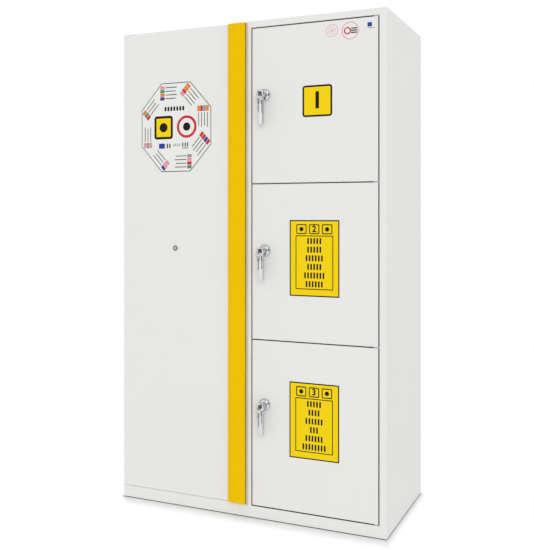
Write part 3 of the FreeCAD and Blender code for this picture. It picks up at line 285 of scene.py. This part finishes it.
WHITE = powder_coat("white_powder_coat", srgb(233, 233, 231), 0.42)
GREY = powder_coat("light_grey_powder_coat", srgb(221, 222, 221), 0.45)
YELLOW = powder_coat("yellow_powder_coat", srgb(240, 195, 2), 0.38, dust=0.05, gloss=0.05)
CHROME = chrome("polished_chrome", srgb(192, 192, 195), 0.09)
LOCK_STEEL = chrome("dark_lock_steel", srgb(118, 118, 116), 0.26)
LOCK_CHROME = chrome("satin_lock_chrome", srgb(168, 168, 168), 0.22)
NICKEL = brushed_metal("nickel_plated_key", srgb(138, 136, 129), 0.3, grain=(1, 1, 10))
PALE_NICKEL = brushed_metal("pale_nickel_key", srgb(176, 174, 168), 0.3, grain=(1, 1, 10))
ZINC = brushed_metal("zinc_plated_steel", srgb(186, 189, 193), 0.4)
INSULATION = board("insulating_board", srgb(214, 206, 188), srgb(176, 166, 146))
LAMINATE = laminate("melamine_faced_board", srgb(236, 236, 233))
GRAPHITE = rubber("intumescent_graphite", srgb(62, 62, 65), sparkle=3.0)
SEAL = rubber("seal_rubber", srgb(38, 38, 40))
# Painted shade: a dark amber that stands in for the shadow on the grip strip's flank.
AMBER_FLANK_SHADE = rubber("amber_painted_shade", srgb(122, 88, 16))
POLYPROPYLENE = moulded_plastic("white_polypropylene", srgb(228, 228, 224), 0.5)
FOOT_PLASTIC = moulded_plastic("black_foot_plastic", srgb(34, 34, 36), 0.6)
PRINT_YELLOW = vinyl("yellow_print", srgb(246, 213, 18))
PRINT_WHITE = vinyl("white_print", srgb(236, 236, 234))
PRINT_BLACK = vinyl("black_print", srgb(24, 24, 26))
PRINT_RED = vinyl("red_print", srgb(206, 52, 58))
PRINT_ROSE = vinyl("rose_print", srgb(226, 150, 158))
PRINT_BLUE = vinyl("blue_print", srgb(44, 72, 148))
PRINT_GREY = vinyl("grey_print", srgb(150, 151, 154))
PRINT_GREEN = vinyl("green_print", srgb(92, 146, 104))
PRINT_ORANGE = vinyl("orange_print", srgb(222, 132, 48))

NODE_FINISHES = {
    "side_panel_left": WHITE,
    "side_panel_right": WHITE,
    "centre_stile": WHITE,
    "roof_panel": WHITE,
    "plinth_panel": WHITE,
    "floor_panel": WHITE,
    "back_panel": WHITE,
    "partition_panel": WHITE,
    "front_collar": WHITE,
    "insulation_boards": INSULATION,
    "lining_boards": LAMINATE,
    "intumescent_strip": GRAPHITE,
    "shelf_uprights": GREY,
    "shelf_clips": ZINC,
    "fire_shelves": GREY,
    "sump_tray": GREY,
    "sump_grid": GREY,
    "fire_door_skin": WHITE,
    "fire_door_core": INSULATION,
    "fire_door_liner": WHITE,
    "fire_door_bushes": NICKEL,
    "fire_door_grip_strip": YELLOW,
    "fire_door_gasket": SEAL,
    "fire_lock_case": LOCK_STEEL,
    "fire_lock_plug": LOCK_CHROME,
    "fire_lock_bolt": ZINC,
    "fire_hinge_plates": ZINC,
    "door_stop_frame": GREY,
    "compartment_dividers": GREY,
    "shelf_rails": ZINC,
    "compartment_shelves": GREY,
    "spill_trays": POLYPROPYLENE,
    "vent_duct": GREY,
    "door_pivot_plates": ZINC,
    "exhaust_spigots": GREY,
    "levelling_feet": FOOT_PLASTIC,
}
for name in COMPARTMENTS:
    NODE_FINISHES["door_" + name] = WHITE
    NODE_FINISHES["door_liner_" + name] = WHITE
    NODE_FINISHES["door_seal_" + name] = SEAL
    NODE_FINISHES["rosette_" + name] = CHROME
    NODE_FINISHES["lever_" + name] = CHROME
    NODE_FINISHES["cam_" + name] = ZINC
    NODE_FINISHES["key_" + name] = NICKEL
    NODE_FINISHES["spare_key_" + name] = PALE_NICKEL


def add_node(tree, kind, settings, values):
    """Adds a node to a geometry tree: its settings first, then the values or links of its sockets."""
    node = tree.nodes.new(kind)
    for key, value in settings.items():
        setattr(node, key, value)
    for key, value in values.items():
        if isinstance(value, bpy.types.NodeSocket):
            tree.links.new(value, node.inputs[key])
        else:
            node.inputs[key].default_value = value
    return node


def smoothing_tree():
    """Welds a node's loose triangles and smooths it, with its corners and shared edges kept sharp."""
    tree = bpy.data.node_groups.new("smooth_folds", "GeometryNodeTree")
    tree.interface.new_socket("Geometry", in_out="INPUT", socket_type="NodeSocketGeometry")
    tree.interface.new_socket("Geometry", in_out="OUTPUT", socket_type="NodeSocketGeometry")
    corner = tree.interface.new_socket("Corner angle", in_out="INPUT", socket_type="NodeSocketFloat")
    corner.default_value = math.radians(32)
    start = tree.nodes.new("NodeGroupInput")
    end = tree.nodes.new("NodeGroupOutput")
    weld = add_node(tree, "GeometryNodeMergeByDistance", {}, {
        "Geometry": start.outputs["Geometry"],
        "Distance": 0.002 * MM,
    })
    angle = add_node(tree, "GeometryNodeInputMeshEdgeAngle", {}, {})
    folded = add_node(tree, "FunctionNodeCompare", {"operation": "GREATER_THAN"}, {
        0: angle.outputs["Unsigned Angle"],
        1: start.outputs["Corner angle"],
    })
    faces = add_node(tree, "GeometryNodeInputMeshEdgeNeighbors", {}, {})
    shared = add_node(tree, "FunctionNodeCompare", {"data_type": "INT", "operation": "NOT_EQUAL"}, {
        2: faces.outputs["Face Count"],
        3: 2,
    })
    sharp = add_node(tree, "FunctionNodeBooleanMath", {"operation": "OR"}, {
        0: folded.outputs["Result"],
        1: shared.outputs["Result"],
    })
    smooth = add_node(tree, "GeometryNodeSetShadeSmooth", {}, {"Geometry": weld.outputs["Geometry"]})
    kept = add_node(tree, "GeometryNodeSetShadeSmooth", {"domain": "EDGE"}, {
        "Geometry": smooth.outputs["Geometry"],
        "Selection": sharp.outputs["Boolean"],
        "Shade Smooth": False,
    })
    tree.links.new(kept.outputs["Geometry"], end.inputs["Geometry"])
    return tree


def dress_nodes():
    """Gives every node of the frame its finish and smooth folds."""
    tree = smoothing_tree()
    for name, node in NODES.items():
        node.data.materials.clear()
        node.data.materials.append(NODE_FINISHES[name])
        modifier = node.modifiers.new("smooth_folds", "NODES")
        modifier.node_group = tree


# ---- Printed plates ----
def rounded(x, z, width, height, radius, segments=5):
    """Points round a rectangle with round corners, anticlockwise from its lower right corner."""
    points = []
    corners = ((1, -1, -90), (1, 1, 0), (-1, 1, 90), (-1, -1, 180))
    for side_x, side_z, start in corners:
        cx = x + side_x * (width / 2 - radius)
        cz = z + side_z * (height / 2 - radius)
        for step in range(segments + 1):
            angle = math.radians(start + 90 * step / segments)
            points.append((cx + radius * math.cos(angle), cz + radius * math.sin(angle)))
    return points


def disc(x, z, radius, segments=48):
    """Points round a circle."""
    points = []
    for step in range(segments):
        angle = 2 * math.pi * step / segments
        points.append((x + radius * math.cos(angle), z + radius * math.sin(angle)))
    return points


def octagon(x, z, reach):
    """An octagon with flat sides reach away from its middle."""
    radius = reach / math.cos(math.pi / 8)
    return [(x + radius * math.cos(turn), z + radius * math.sin(turn))
            for turn in (math.pi / 8 + math.pi / 4 * step for step in range(8))]


def swung(points, x, z, angle):
    """Points turned about (x, z)."""
    cosine, sine = math.cos(angle), math.sin(angle)
    result = []
    for px, pz in points:
        dx, dz = px - x, pz - z
        result.append((x + dx * cosine - dz * sine, z + dx * sine + dz * cosine))
    return result


def squeezed(points, x, share):
    """Points drawn in sideways towards x."""
    return [(x + (px - x) * share, pz) for px, pz in points]


class Plate:
    """A printed plate stuck on a door; each level of print lies on the one below.

    Places are in millimetres from the cabinet's left side and the floor.
    """

    FILM = 0.3
    INK = 0.1
    SMALLEST_RADIUS = 0.3
    TYPE_SIZE = 1.4  # of a figure's height
    TYPE_WEIGHT = 0.045  # of a figure's height

    def __init__(self, name, body):
        self.name = name
        self.body = body
        self.mesh = bmesh.new()
        self.materials = []

    def front(self, level):
        """Where the print of that level ends in front, in metres."""
        return DOOR_FACE - (self.FILM + self.INK * level) * MM

    def material_index(self, material):
        """The place of a material in the plate's list, which takes it in when it is new."""
        if material not in self.materials:
            self.materials.append(material)
        return self.materials.index(material)

    def print(self, points, material, level):
        """A flat closed shape from points round it, anticlockwise as they are seen."""
        index = self.material_index(material)
        near = self.front(level)
        far = self.front(level - 1) if level else DOOR_FACE
        fronts, backs = [], []
        for x, z in points:
            fronts.append(self.mesh.verts.new((CABINET_LEFT + x * MM, near, z * MM)))
            backs.append(self.mesh.verts.new((CABINET_LEFT + x * MM, far, z * MM)))
        faces = [self.mesh.faces.new(fronts), self.mesh.faces.new(backs[::-1])]
        count = len(points)
        for i in range(count):
            j = (i + 1) % count
            faces.append(self.mesh.faces.new((fronts[i], backs[i], backs[j], fronts[j])))
        for face in faces:
            face.material_index = index

    def frame(self, x, z, width, height, radius, line, level):
        """A black line round a yellow field: black below, and yellow again inside it."""
        self.print(rounded(x, z, width, height, radius), PRINT_BLACK, level)
        inner = max(radius - line, self.SMALLEST_RADIUS)
        field = rounded(x, z, width - 2 * line, height - 2 * line, inner)
        self.print(field, PRINT_YELLOW, level + 1)

    def number(self, text, x, z, height, material, level):
        """A figure in plain type, centred on (x, z)."""
        curve = bpy.data.curves.new(self.name + "_figure", "FONT")
        curve.body = text
        curve.size = height * self.TYPE_SIZE * MM
        curve.align_x = "CENTER"
        curve.align_y = "CENTER"
        curve.extrude = self.INK / 2 * MM
        curve.offset = height * self.TYPE_WEIGHT * MM
        figure = plain_mesh(new_object(self.name + "_figure", curve))
        index = self.material_index(material)
        depth = (self.front(level) + self.front(level - 1)) / 2
        place = Matrix.Translation((CABINET_LEFT + x * MM, depth, z * MM))
        figure.transform(place @ Matrix.Rotation(math.radians(90), 4, "X"))
        first = len(self.mesh.faces)
        self.mesh.from_mesh(figure)
        self.mesh.faces.ensure_lookup_table()
        for face in self.mesh.faces[first:]:
            face.material_index = index
        bpy.data.meshes.remove(figure)

    def dashes(self, x, z, width, height, thickness, pitch, material, level):
        """A row of upright strokes that fills width, centred on (x, z)."""
        count = round(width / pitch)
        for i in range(count):
            place = x + (i - (count - 1) / 2) * pitch
            self.print(rounded(place, z, thickness, height, thickness * 0.3, 2), material, level)

    def stick(self):
        """Makes the plate a piece that moves with its body."""
        data = bpy.data.meshes.new(self.name)
        self.mesh.to_mesh(data)
        self.mesh.free()
        for material in self.materials:
            data.materials.append(material)
        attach(new_object(self.name, data), self.body)


def compartment_plate(door, number, x, z, rows):
    """A yellow sheet with a border, three boxes along the top and rows of strokes in a frame."""
    plate = Plate("number_plate_" + door, "door_" + door)
    plate.frame(x, z, 201, 291, radius=2, line=4.5, level=0)
    box_level, box_pitch = z + 111, 52
    for i in (-1, 0, 1):
        plate.frame(x + i * box_pitch, box_level, 42, 38, radius=5, line=4, level=2)
        if i:
            plate.print(disc(x + i * box_pitch, box_level, 8.5), PRINT_BLACK, 4)
    plate.number(number, x, box_level, 24, PRINT_BLACK, 4)
    plate.frame(x, z - 16, 152, 206, radius=1.5, line=3.4, level=2)
    first_row, row_pitch = z + 66, 32.8
    for row, width in enumerate(rows):
        plate.dashes(x, first_row - row * row_pitch, width, 23, 6.8, 12.4, PRINT_BLACK, 4)
    plate.stick()


def upper_plate(x, z):
    """A square plate with a thick black border and the compartment's number."""
    plate = Plate("number_plate_upper", "door_upper")
    plate.frame(x, z, 120, 120, radius=11, line=7, level=0)
    plate.number("1", x, z, 62, PRINT_BLACK, 2)
    plate.stick()


def octagonal_plate(x, z):
    """A white octagon: rows of bars behind colour chips along each side, round two plain signs."""
    plate = Plate("octagonal_plate", "fire_door")
    narrow = 0.895
    plate.print(squeezed(octagon(x, z, 182.6), x, narrow), PRINT_BLACK, 0)
    plate.print(squeezed(octagon(x, z, 179.7), x, narrow), PRINT_WHITE, 1)
    sides = (
        (PRINT_ROSE, PRINT_GREEN, PRINT_ORANGE, PRINT_BLUE),
        (PRINT_ORANGE, PRINT_ORANGE, PRINT_RED, PRINT_ROSE),
        (PRINT_ORANGE, PRINT_GREY, PRINT_RED, PRINT_ORANGE),
        (PRINT_RED, PRINT_BLUE, PRINT_RED, PRINT_RED),
        (PRINT_GREEN, PRINT_RED, PRINT_ROSE, PRINT_GREY),
        (PRINT_BLUE, PRINT_ROSE, PRINT_ROSE),
        (PRINT_ROSE, PRINT_GREY, PRINT_ROSE),
        (PRINT_ORANGE, PRINT_GREEN, PRINT_RED),
    )
    first_row, row_pitch = z + 164, 15
    for side, chips in enumerate(sides):
        turn = math.radians(-45 * side)
        for row, ink in enumerate(chips):
            level = first_row - row * row_pitch
            short = row % 2
            chip = swung(rounded(x - 71, level, 23, 13.5, 1), x, z, turn)
            bar = swung(rounded(x - 25 - short * 3, level, 60 - short * 6, 3.2, 1), x, z, turn)
            plate.print(squeezed(chip, x, narrow), ink, 2)
            plate.print(squeezed(bar, x, narrow), PRINT_BLACK, 2)
    plate.dashes(x - 7, z + 76, 98, 18, 9, 14, PRINT_BLACK, 2)
    square_x, ring_x = x - 58, x + 51
    plate.frame(square_x, z, 88, 96, radius=12, line=10, level=2)
    plate.print(disc(square_x, z, 19), PRINT_BLACK, 4)
    plate.print(disc(ring_x, z, 46), PRINT_RED, 2)
    plate.print(disc(ring_x, z, 35), PRINT_WHITE, 3)
    plate.print(disc(ring_x, z, 17), PRINT_BLACK, 4)
    plate.print(rounded(x - 66, z - 76, 28, 21, 1.5), PRINT_BLUE, 2)
    plate.dashes(x - 34, z - 76, 26, 19, 6, 12, PRINT_BLACK, 2)
    plate.dashes(x + 4, z - 74, 38, 12, 4, 9, PRINT_GREY, 2)
    plate.dashes(x + 44, z - 73, 28, 17, 5, 11, PRINT_BLACK, 2)
    plate.print(rounded(x + 44, z - 87, 28, 3, 1), PRINT_BLACK, 2)
    plate.stick()


def corner_stickers():
    """Three small plain stickers near the upper door's top right corner."""
    plate = Plate("corner_stickers", "door_upper")
    small = (929, 1882)
    rings = ((24, PRINT_ROSE), (22, PRINT_WHITE), (15, PRINT_ROSE), (13.5, PRINT_WHITE))
    for level, (radius, ink) in enumerate(rings):
        plate.print(disc(*small, radius), ink, level)
    plate.dashes(*small, 16, 13, 2.4, 5, PRINT_ROSE, 4)
    large, inner = (1001, 1876), (990, 1876)
    for level, (radius, ink) in enumerate(((33, PRINT_ROSE), (30, PRINT_WHITE))):
        plate.print(disc(*large, radius), ink, level)
    plate.print(disc(*inner, 14), PRINT_RED, 2)
    plate.print(disc(*inner, 9), PRINT_WHITE, 3)
    for row in range(3):
        plate.print(rounded(1016, 1884 - row * 8, 24, 4.5, 1), PRINT_BLACK, 2)
    plate.print(rounded(1076, 1892, 17, 16, 1), PRINT_BLUE, 0)
    plate.print(rounded(1082, 1879, 26, 2.5, 1), PRINT_GREY, 0)
    plate.stick()


# ---- Edge seals and joints ----
def bars(name, body, places, finish):
    """Square bars as one mesh that rides on body; places are their bounds in millimetres.

    x runs from the cabinet's left side, y backwards from the doors' face, and z up from the floor.
    """
    corner = Vector((CABINET_LEFT, DOOR_FACE, 0.0))
    mesh = bmesh.new()
    for x0, x1, y0, y1, z0, z1 in places:
        middle = corner + Vector((x0 + x1, y0 + y1, z0 + z1)) * (MM / 2)
        size = Matrix.Diagonal((x1 - x0, y1 - y0, z1 - z0, 1000.0)) * MM
        bmesh.ops.create_cube(mesh, size=1.0, matrix=Matrix.Translation(middle) @ size)
    data = bpy.data.meshes.new(name)
    mesh.to_mesh(data)
    mesh.free()
    data.materials.append(finish)
    piece = new_object(name, data)
    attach(piece, body)


def millimetres(node):
    """A node's bounds as x0, x1, z0, z1 from the cabinet's left side and the floor."""
    low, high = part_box(node)
    return [value / MM for value in (low.x - CABINET_LEFT, high.x - CABINET_LEFT, low.z, high.z)]


def gap_shade_strips():
    """Thin black strips round the compartments' opening and round each door, set back in the gaps:
    painted shade that darkens the door gaps.
    """
    thick = 0.6
    x0, x1, z0, z1 = millimetres("door_stop_frame")
    front, back = 2.6, 23.6
    # These black bars are painted shade inside the gaps, apart from the real door seals of the model.
    bars("frame_gap_shade", "casing", (
        (x0, x0 + thick, front, back, z0, z1),
        (x1 - thick, x1, front, back, z0, z1),
        (x0, x1, front, back, z0, z0 + thick),
        (x0, x1, front, back, z1 - thick, z1),
    ), SEAL)
    for name in COMPARTMENTS:
        x0, x1, z0, z1 = millimetres("door_" + name)
        front, back, corner, pivot = 3.0, 19.0, 3.0, 20.0
        bars("door_gap_shade_" + name, "door_" + name, (
            (x0 - thick, x0, front, back, z0 + corner, z1 - corner),
            (x1, x1 + thick, front, back, z0 + corner, z1 - corner),
            (x0 + corner, x1 - pivot, front, back, z0 - thick, z0),
            (x0 + corner, x1 - pivot, front, back, z1, z1 + thick),
        ), SEAL)


def strip_edge():
    """A dark amber bar along the grip strip's side, painted shade for its shaded flank, and the white
    lip over the gap at the stile.
    """
    x1, z0, z1 = millimetres("fire_door_grip_strip")[1:]
    # This bar is painted shade: a dark amber sheet on the strip's flank in place of its shadow.
    seal = (x1, x1 + 0.4, -9.5, -2.5, z0 + 0.5, z1 - 0.5)
    bars("grip_strip_edge_painted_shade", "fire_door", (seal,), AMBER_FLANK_SHADE)
    x1, z0, z1 = millimetres("fire_door_skin")[1:]
    stile, clearance = millimetres("centre_stile")[0], 0.6
    lip = (x1, stile - clearance, 0.0, 4.0, z0, z1)
    bars("fire_door_edge_lip", "fire_door", (lip,), WHITE)


def joint_fillers():
    """Paint-filled joints of the front frame, and the lip under the fire door."""
    x0, x1, z0, z1 = millimetres("door_stop_frame")
    fold, stile = 3.0, 22.0
    roof = ROOF_TOP / MM
    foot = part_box("side_panel_right")[0].z / MM
    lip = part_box("fire_door_skin")[0].z / MM - 0.7
    bars("joint_fillers", "casing", (
        (x1, x1 + fold, 0.0, fold, z1, roof - 1.5),
        (x1, x1 + fold, 0.0, fold, foot, z0),
        (x0 - fold, x0, 0.0, fold, z1, roof - 1.5),
        (1.0, x0 - stile, 1.2, 18.0, z0, lip),
    ), WHITE)


# ---- Screws ----
def screw_tree():
    """Dome-headed screws with a cross recess, one on every vertex of the mesh that it is given."""
    tree = bpy.data.node_groups.new("screw_heads", "GeometryNodeTree")
    interface = tree.interface
    interface.new_socket("Geometry", in_out="INPUT", socket_type="NodeSocketGeometry")
    interface.new_socket("Head radius", in_out="INPUT", socket_type="NodeSocketFloat")
    interface.new_socket("Head height", in_out="INPUT", socket_type="NodeSocketFloat")
    interface.new_socket("Turn", in_out="INPUT", socket_type="NodeSocketVector")
    interface.new_socket("Finish", in_out="INPUT", socket_type="NodeSocketMaterial")
    interface.new_socket("Geometry", in_out="OUTPUT", socket_type="NodeSocketGeometry")
    start = tree.nodes.new("NodeGroupInput")
    end = tree.nodes.new("NodeGroupOutput")
    link = tree.links.new

    def node(kind, settings, values):
        return add_node(tree, kind, settings, values)

    radius = start.outputs["Head radius"]
    height = start.outputs["Head height"]
    ball = node("GeometryNodeMeshUVSphere", {}, {"Segments": 20, "Rings": 10, "Radius": 1.0})
    squash = node("ShaderNodeCombineXYZ", {}, {"X": radius, "Y": radius, "Z": height})
    dome = node("GeometryNodeTransform", {}, {
        "Geometry": ball.outputs["Mesh"],
        "Scale": squash.outputs[0],
    })
    long = node("ShaderNodeMath", {"operation": "MULTIPLY"}, {0: radius, 1: 1.1})
    thin = node("ShaderNodeMath", {"operation": "MULTIPLY"}, {0: radius, 1: 0.24})
    along = node("ShaderNodeCombineXYZ", {}, {"X": long.outputs[0], "Y": thin.outputs[0], "Z": height})
    across = node("ShaderNodeCombineXYZ", {}, {"X": thin.outputs[0], "Y": long.outputs[0], "Z": height})
    raised = node("ShaderNodeCombineXYZ", {}, {"Z": height})
    recess = node("GeometryNodeJoinGeometry", {}, {})
    for size in (along, across):
        bar = node("GeometryNodeMeshCube", {}, {"Size": size.outputs[0]})
        lifted = node("GeometryNodeTransform", {}, {
            "Geometry": bar.outputs["Mesh"],
            "Translation": raised.outputs[0],
        })
        link(lifted.outputs["Geometry"], recess.inputs["Geometry"])
    head = node("GeometryNodeMeshBoolean", {"operation": "DIFFERENCE"}, {})
    link(dome.outputs["Geometry"], head.inputs["Mesh 1"])
    link(recess.outputs["Geometry"], head.inputs["Mesh 2"])
    turn = node("FunctionNodeEulerToRotation", {}, {"Euler": start.outputs["Turn"]})
    placed = node("GeometryNodeInstanceOnPoints", {}, {
        "Points": start.outputs["Geometry"],
        "Instance": head.outputs["Mesh"],
        "Rotation": turn.outputs["Rotation"],
    })
    real = node("GeometryNodeRealizeInstances", {}, {"Geometry": placed.outputs["Instances"]})
    finished = node("GeometryNodeSetMaterial", {}, {
        "Geometry": real.outputs["Geometry"],
        "Material": start.outputs["Finish"],
    })
    link(finished.outputs["Geometry"], end.inputs["Geometry"])
    return tree


def screws(tree, name, body, places, radius, height, turn, finish, slot):
    """Screw heads at places, in metres, as one mesh that rides on body."""
    points = bpy.data.meshes.new(name + "_places")
    points.from_pydata(places, [], [])
    carrier = new_object(name + "_places", points)
    modifier = carrier.modifiers.new("screws", "NODES")
    modifier.node_group = tree
    inputs = {"Head radius": radius, "Head height": height, "Turn": turn, "Finish": finish}
    for item in tree.interface.items_tree:
        if item.in_out == "INPUT" and item.name in inputs:
            modifier[item.identifier] = inputs[item.name]
    made = plain_mesh(carrier)
    made.name = name
    piece = new_object(name, made)
    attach(piece, body)


def fixings():
    """Screws round the back panel and on the upper hinge plate."""
    tree = screw_tree()
    low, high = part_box("back_panel")
    first_x, first_z = 0.045, 0.05
    spread_x, spread_z = high.x - low.x - 0.09, high.z - low.z - 0.08
    side_inset, top_inset = 0.035, 0.03
    places = []
    for z in (low.z + first_z, 0.5 * (low.z + high.z), high.z - top_inset):
        for i in range(6):
            places.append((low.x + first_x + i * spread_x / 5, high.y, z))
    for x in (low.x + side_inset, high.x - side_inset):
        for i in (1, 2, 3, 5, 6, 7):
            places.append((x, high.y, low.z + first_z + i * spread_z / 8))
    backwards = (math.radians(-90), 0.0, 0.0)
    finish = (ZINC, "zinc_plated_steel")
    screws(tree, "back_panel_screws", "casing", places, 4.2 * MM, 1.4 * MM, backwards, *finish)
    low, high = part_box("fire_hinge_plates")
    side_inset, back_inset = 0.008, 0.010
    places = []
    for x in (low.x + side_inset, high.x - side_inset):
        places.append((x, high.y - back_inset, high.z))
    upwards = (0.0, 0.0, 0.4)
    screws(tree, "hinge_plate_screws", "casing", places, 3.6 * MM, 1.6 * MM, upwards, *finish)


# ---- Floor, light and camera ----
def seen_white(finish):
    """1 for camera, glossy and transmission rays."""
    seen = finish.node("ShaderNodeLightPath", {}, {}, "Is Camera Ray")
    for ray in ("Is Glossy Ray", "Is Transmission Ray"):
        seen = seen.at_least(finish.node("ShaderNodeLightPath", {}, {}, ray))
    return seen


def mirrored(finish):
    """1 for rays that leave a glossy surface and have met no matt one."""
    glossy = finish.node("ShaderNodeLightPath", {}, {}, "Is Glossy Ray")
    return glossy * (1.0 - finish.node("ShaderNodeLightPath", {}, {}, "Diffuse Depth")).at_least(0.0)


def studio_floor():
    """A white floor that keeps the soft shadow round the cabinet's foot."""
    data = bpy.data.meshes.new("studio_floor")
    end = FLOOR_REACH
    corners = [(-end, -end, 0), (end, -end, 0), (end, end, 0), (-end, end, 0)]
    data.from_pydata(corners, [], [(0, 1, 2, 3)])
    floor = new_object("studio_floor", data)
    ground = Finish("studio_floor", srgb(246, 246, 246), 0.9)
    across, along = ground.coordinate("X"), ground.coordinate("Y")
    shine = mirrored(ground) * (FRONT_FACE - along).over(0.0) * FLOOR_SHINE + 1.0
    glow = ground.node("ShaderNodeEmission", {}, {"Color": shine, "Strength": 1.0}, "Emission")

    # The shadow fades to white within a short reach of the casing: widest in front, narrower at
    # the right side, and slanting in from the left and rear corners.
    before, beside = FRONT_FACE - along, across - CABINET_RIGHT
    left = (CABINET_LEFT - across + before.at_least(0.0) * 1.2) * 5.0
    behind = (along - BACK_FACE + beside.at_least(0.0) * 1.5) * 8.0
    outside = before.at_least(beside * 3.0).at_least(left).at_least(behind)
    values = {"Value": outside, "From Min": 0.0, "From Max": SHADOW_REACH}
    smooth = {"interpolation_type": "SMOOTHSTEP"}
    faded = ground.node("ShaderNodeMapRange", smooth, values, "Result")
    # Painted shade: the floor under the cabinet is tinted dark grey to deepen the contact shadow at its
    # foot.
    ground.tint((0.0 - outside).over(0.0), srgb(120, 120, 120))
    surface = Amount(ground, ground.shader.outputs["BSDF"])
    mixed = ground.node("ShaderNodeMixShader", {}, {0: faded * seen_white(ground), 1: surface, 2: glow})
    output = ground.tree.nodes["Material Output"]
    ground.feed(output.inputs["Surface"], mixed)
    data.materials.append(ground.material)


class WorldLight(Finish):
    """The world's node tree, with the same helpers as a material's."""

    def __init__(self, name):
        self.material = bpy.data.worlds.new(name)
        self.material.use_nodes = True
        self.tree = self.material.node_tree

    def patch(self, toward, edge, full):
        """1 round one direction of the sky, fading to 0; edge and full are cosines."""
        direction = self.node("ShaderNodeTexCoord", {}, {}, "Generated")
        values = {0: direction, 1: Vector(toward).normalized()}
        cosine = self.node("ShaderNodeVectorMath", {"operation": "DOT_PRODUCT"}, values, "Value")
        values = {"Value": cosine, "From Min": edge, "From Max": full}
        return self.node("ShaderNodeMapRange", {"interpolation_type": "SMOOTHSTEP"}, values, "Result")


def studio_world(level):
    """An even white sky of that strength, with a panel, a lamp and a dark side for the metal."""
    world = WorldLight("studio_world")
    node = world.tree.nodes["Background"]
    node.inputs["Color"].default_value = (1, 1, 1, 1)
    panel = world.patch((-0.44, -0.89, 0.1), edge=0.78, full=0.93) * 0.48
    lamp = world.patch((0.42, -0.7, 0.56), edge=0.94, full=0.98) * 1.4
    dark_side = world.patch((0.94, -0.34, 0.0), edge=0.7, full=0.95) * 0.8
    reflected = (panel + lamp - dark_side) * mirrored(world)
    world.feed(node.inputs["Strength"], seen_white(world) * (1.0 - level) + level + reflected)
    bpy.context.scene.world = world.material


def soft_sun(name, toward, strength, angle):
    """A broad lamp far away on the side that toward points to."""
    lamp = bpy.data.lights.new(name, "SUN")
    lamp.energy = strength
    lamp.angle = math.radians(angle)
    carrier = new_object(name, lamp)
    carrier.rotation_euler = Vector(toward).to_track_quat("Z", "Y").to_euler()
    carrier.visible_glossy = False


def studio_camera():
    data = bpy.data.cameras.new("camera")
    data.sensor_width = 36.0
    data.sensor_fit = "AUTO"
    data.lens = CAMERA_LENS
    data.shift_y = CAMERA_SHIFT
    camera = new_object("camera", data)
    camera.location = CAMERA_PLACE
    camera.rotation_euler = (math.radians(90), 0.0, math.radians(CAMERA_TURN))
    bpy.context.scene.camera = camera


dress_nodes()
octagonal_plate(x=253, z=1549)
upper_plate(x=870, z=1622)
compartment_plate("middle", "2", x=858, z=1024, rows=(56, 62, 74, 62, 84, 74))
compartment_plate("lower", "3", x=857, z=404, rows=(56, 50, 74, 38, 74, 98))
corner_stickers()
gap_shade_strips()
strip_edge()
joint_fillers()
fixings()
studio_floor()
studio_world(level=0.69)
soft_sun("key_sun", toward=(0.40, -0.91, 0.30), strength=0.92, angle=40)
soft_sun("side_sun", toward=(1.0, 0.15, 0.25), strength=0.26, angle=60)
studio_camera()

bpy.context.scene.view_settings.view_transform = "Standard"
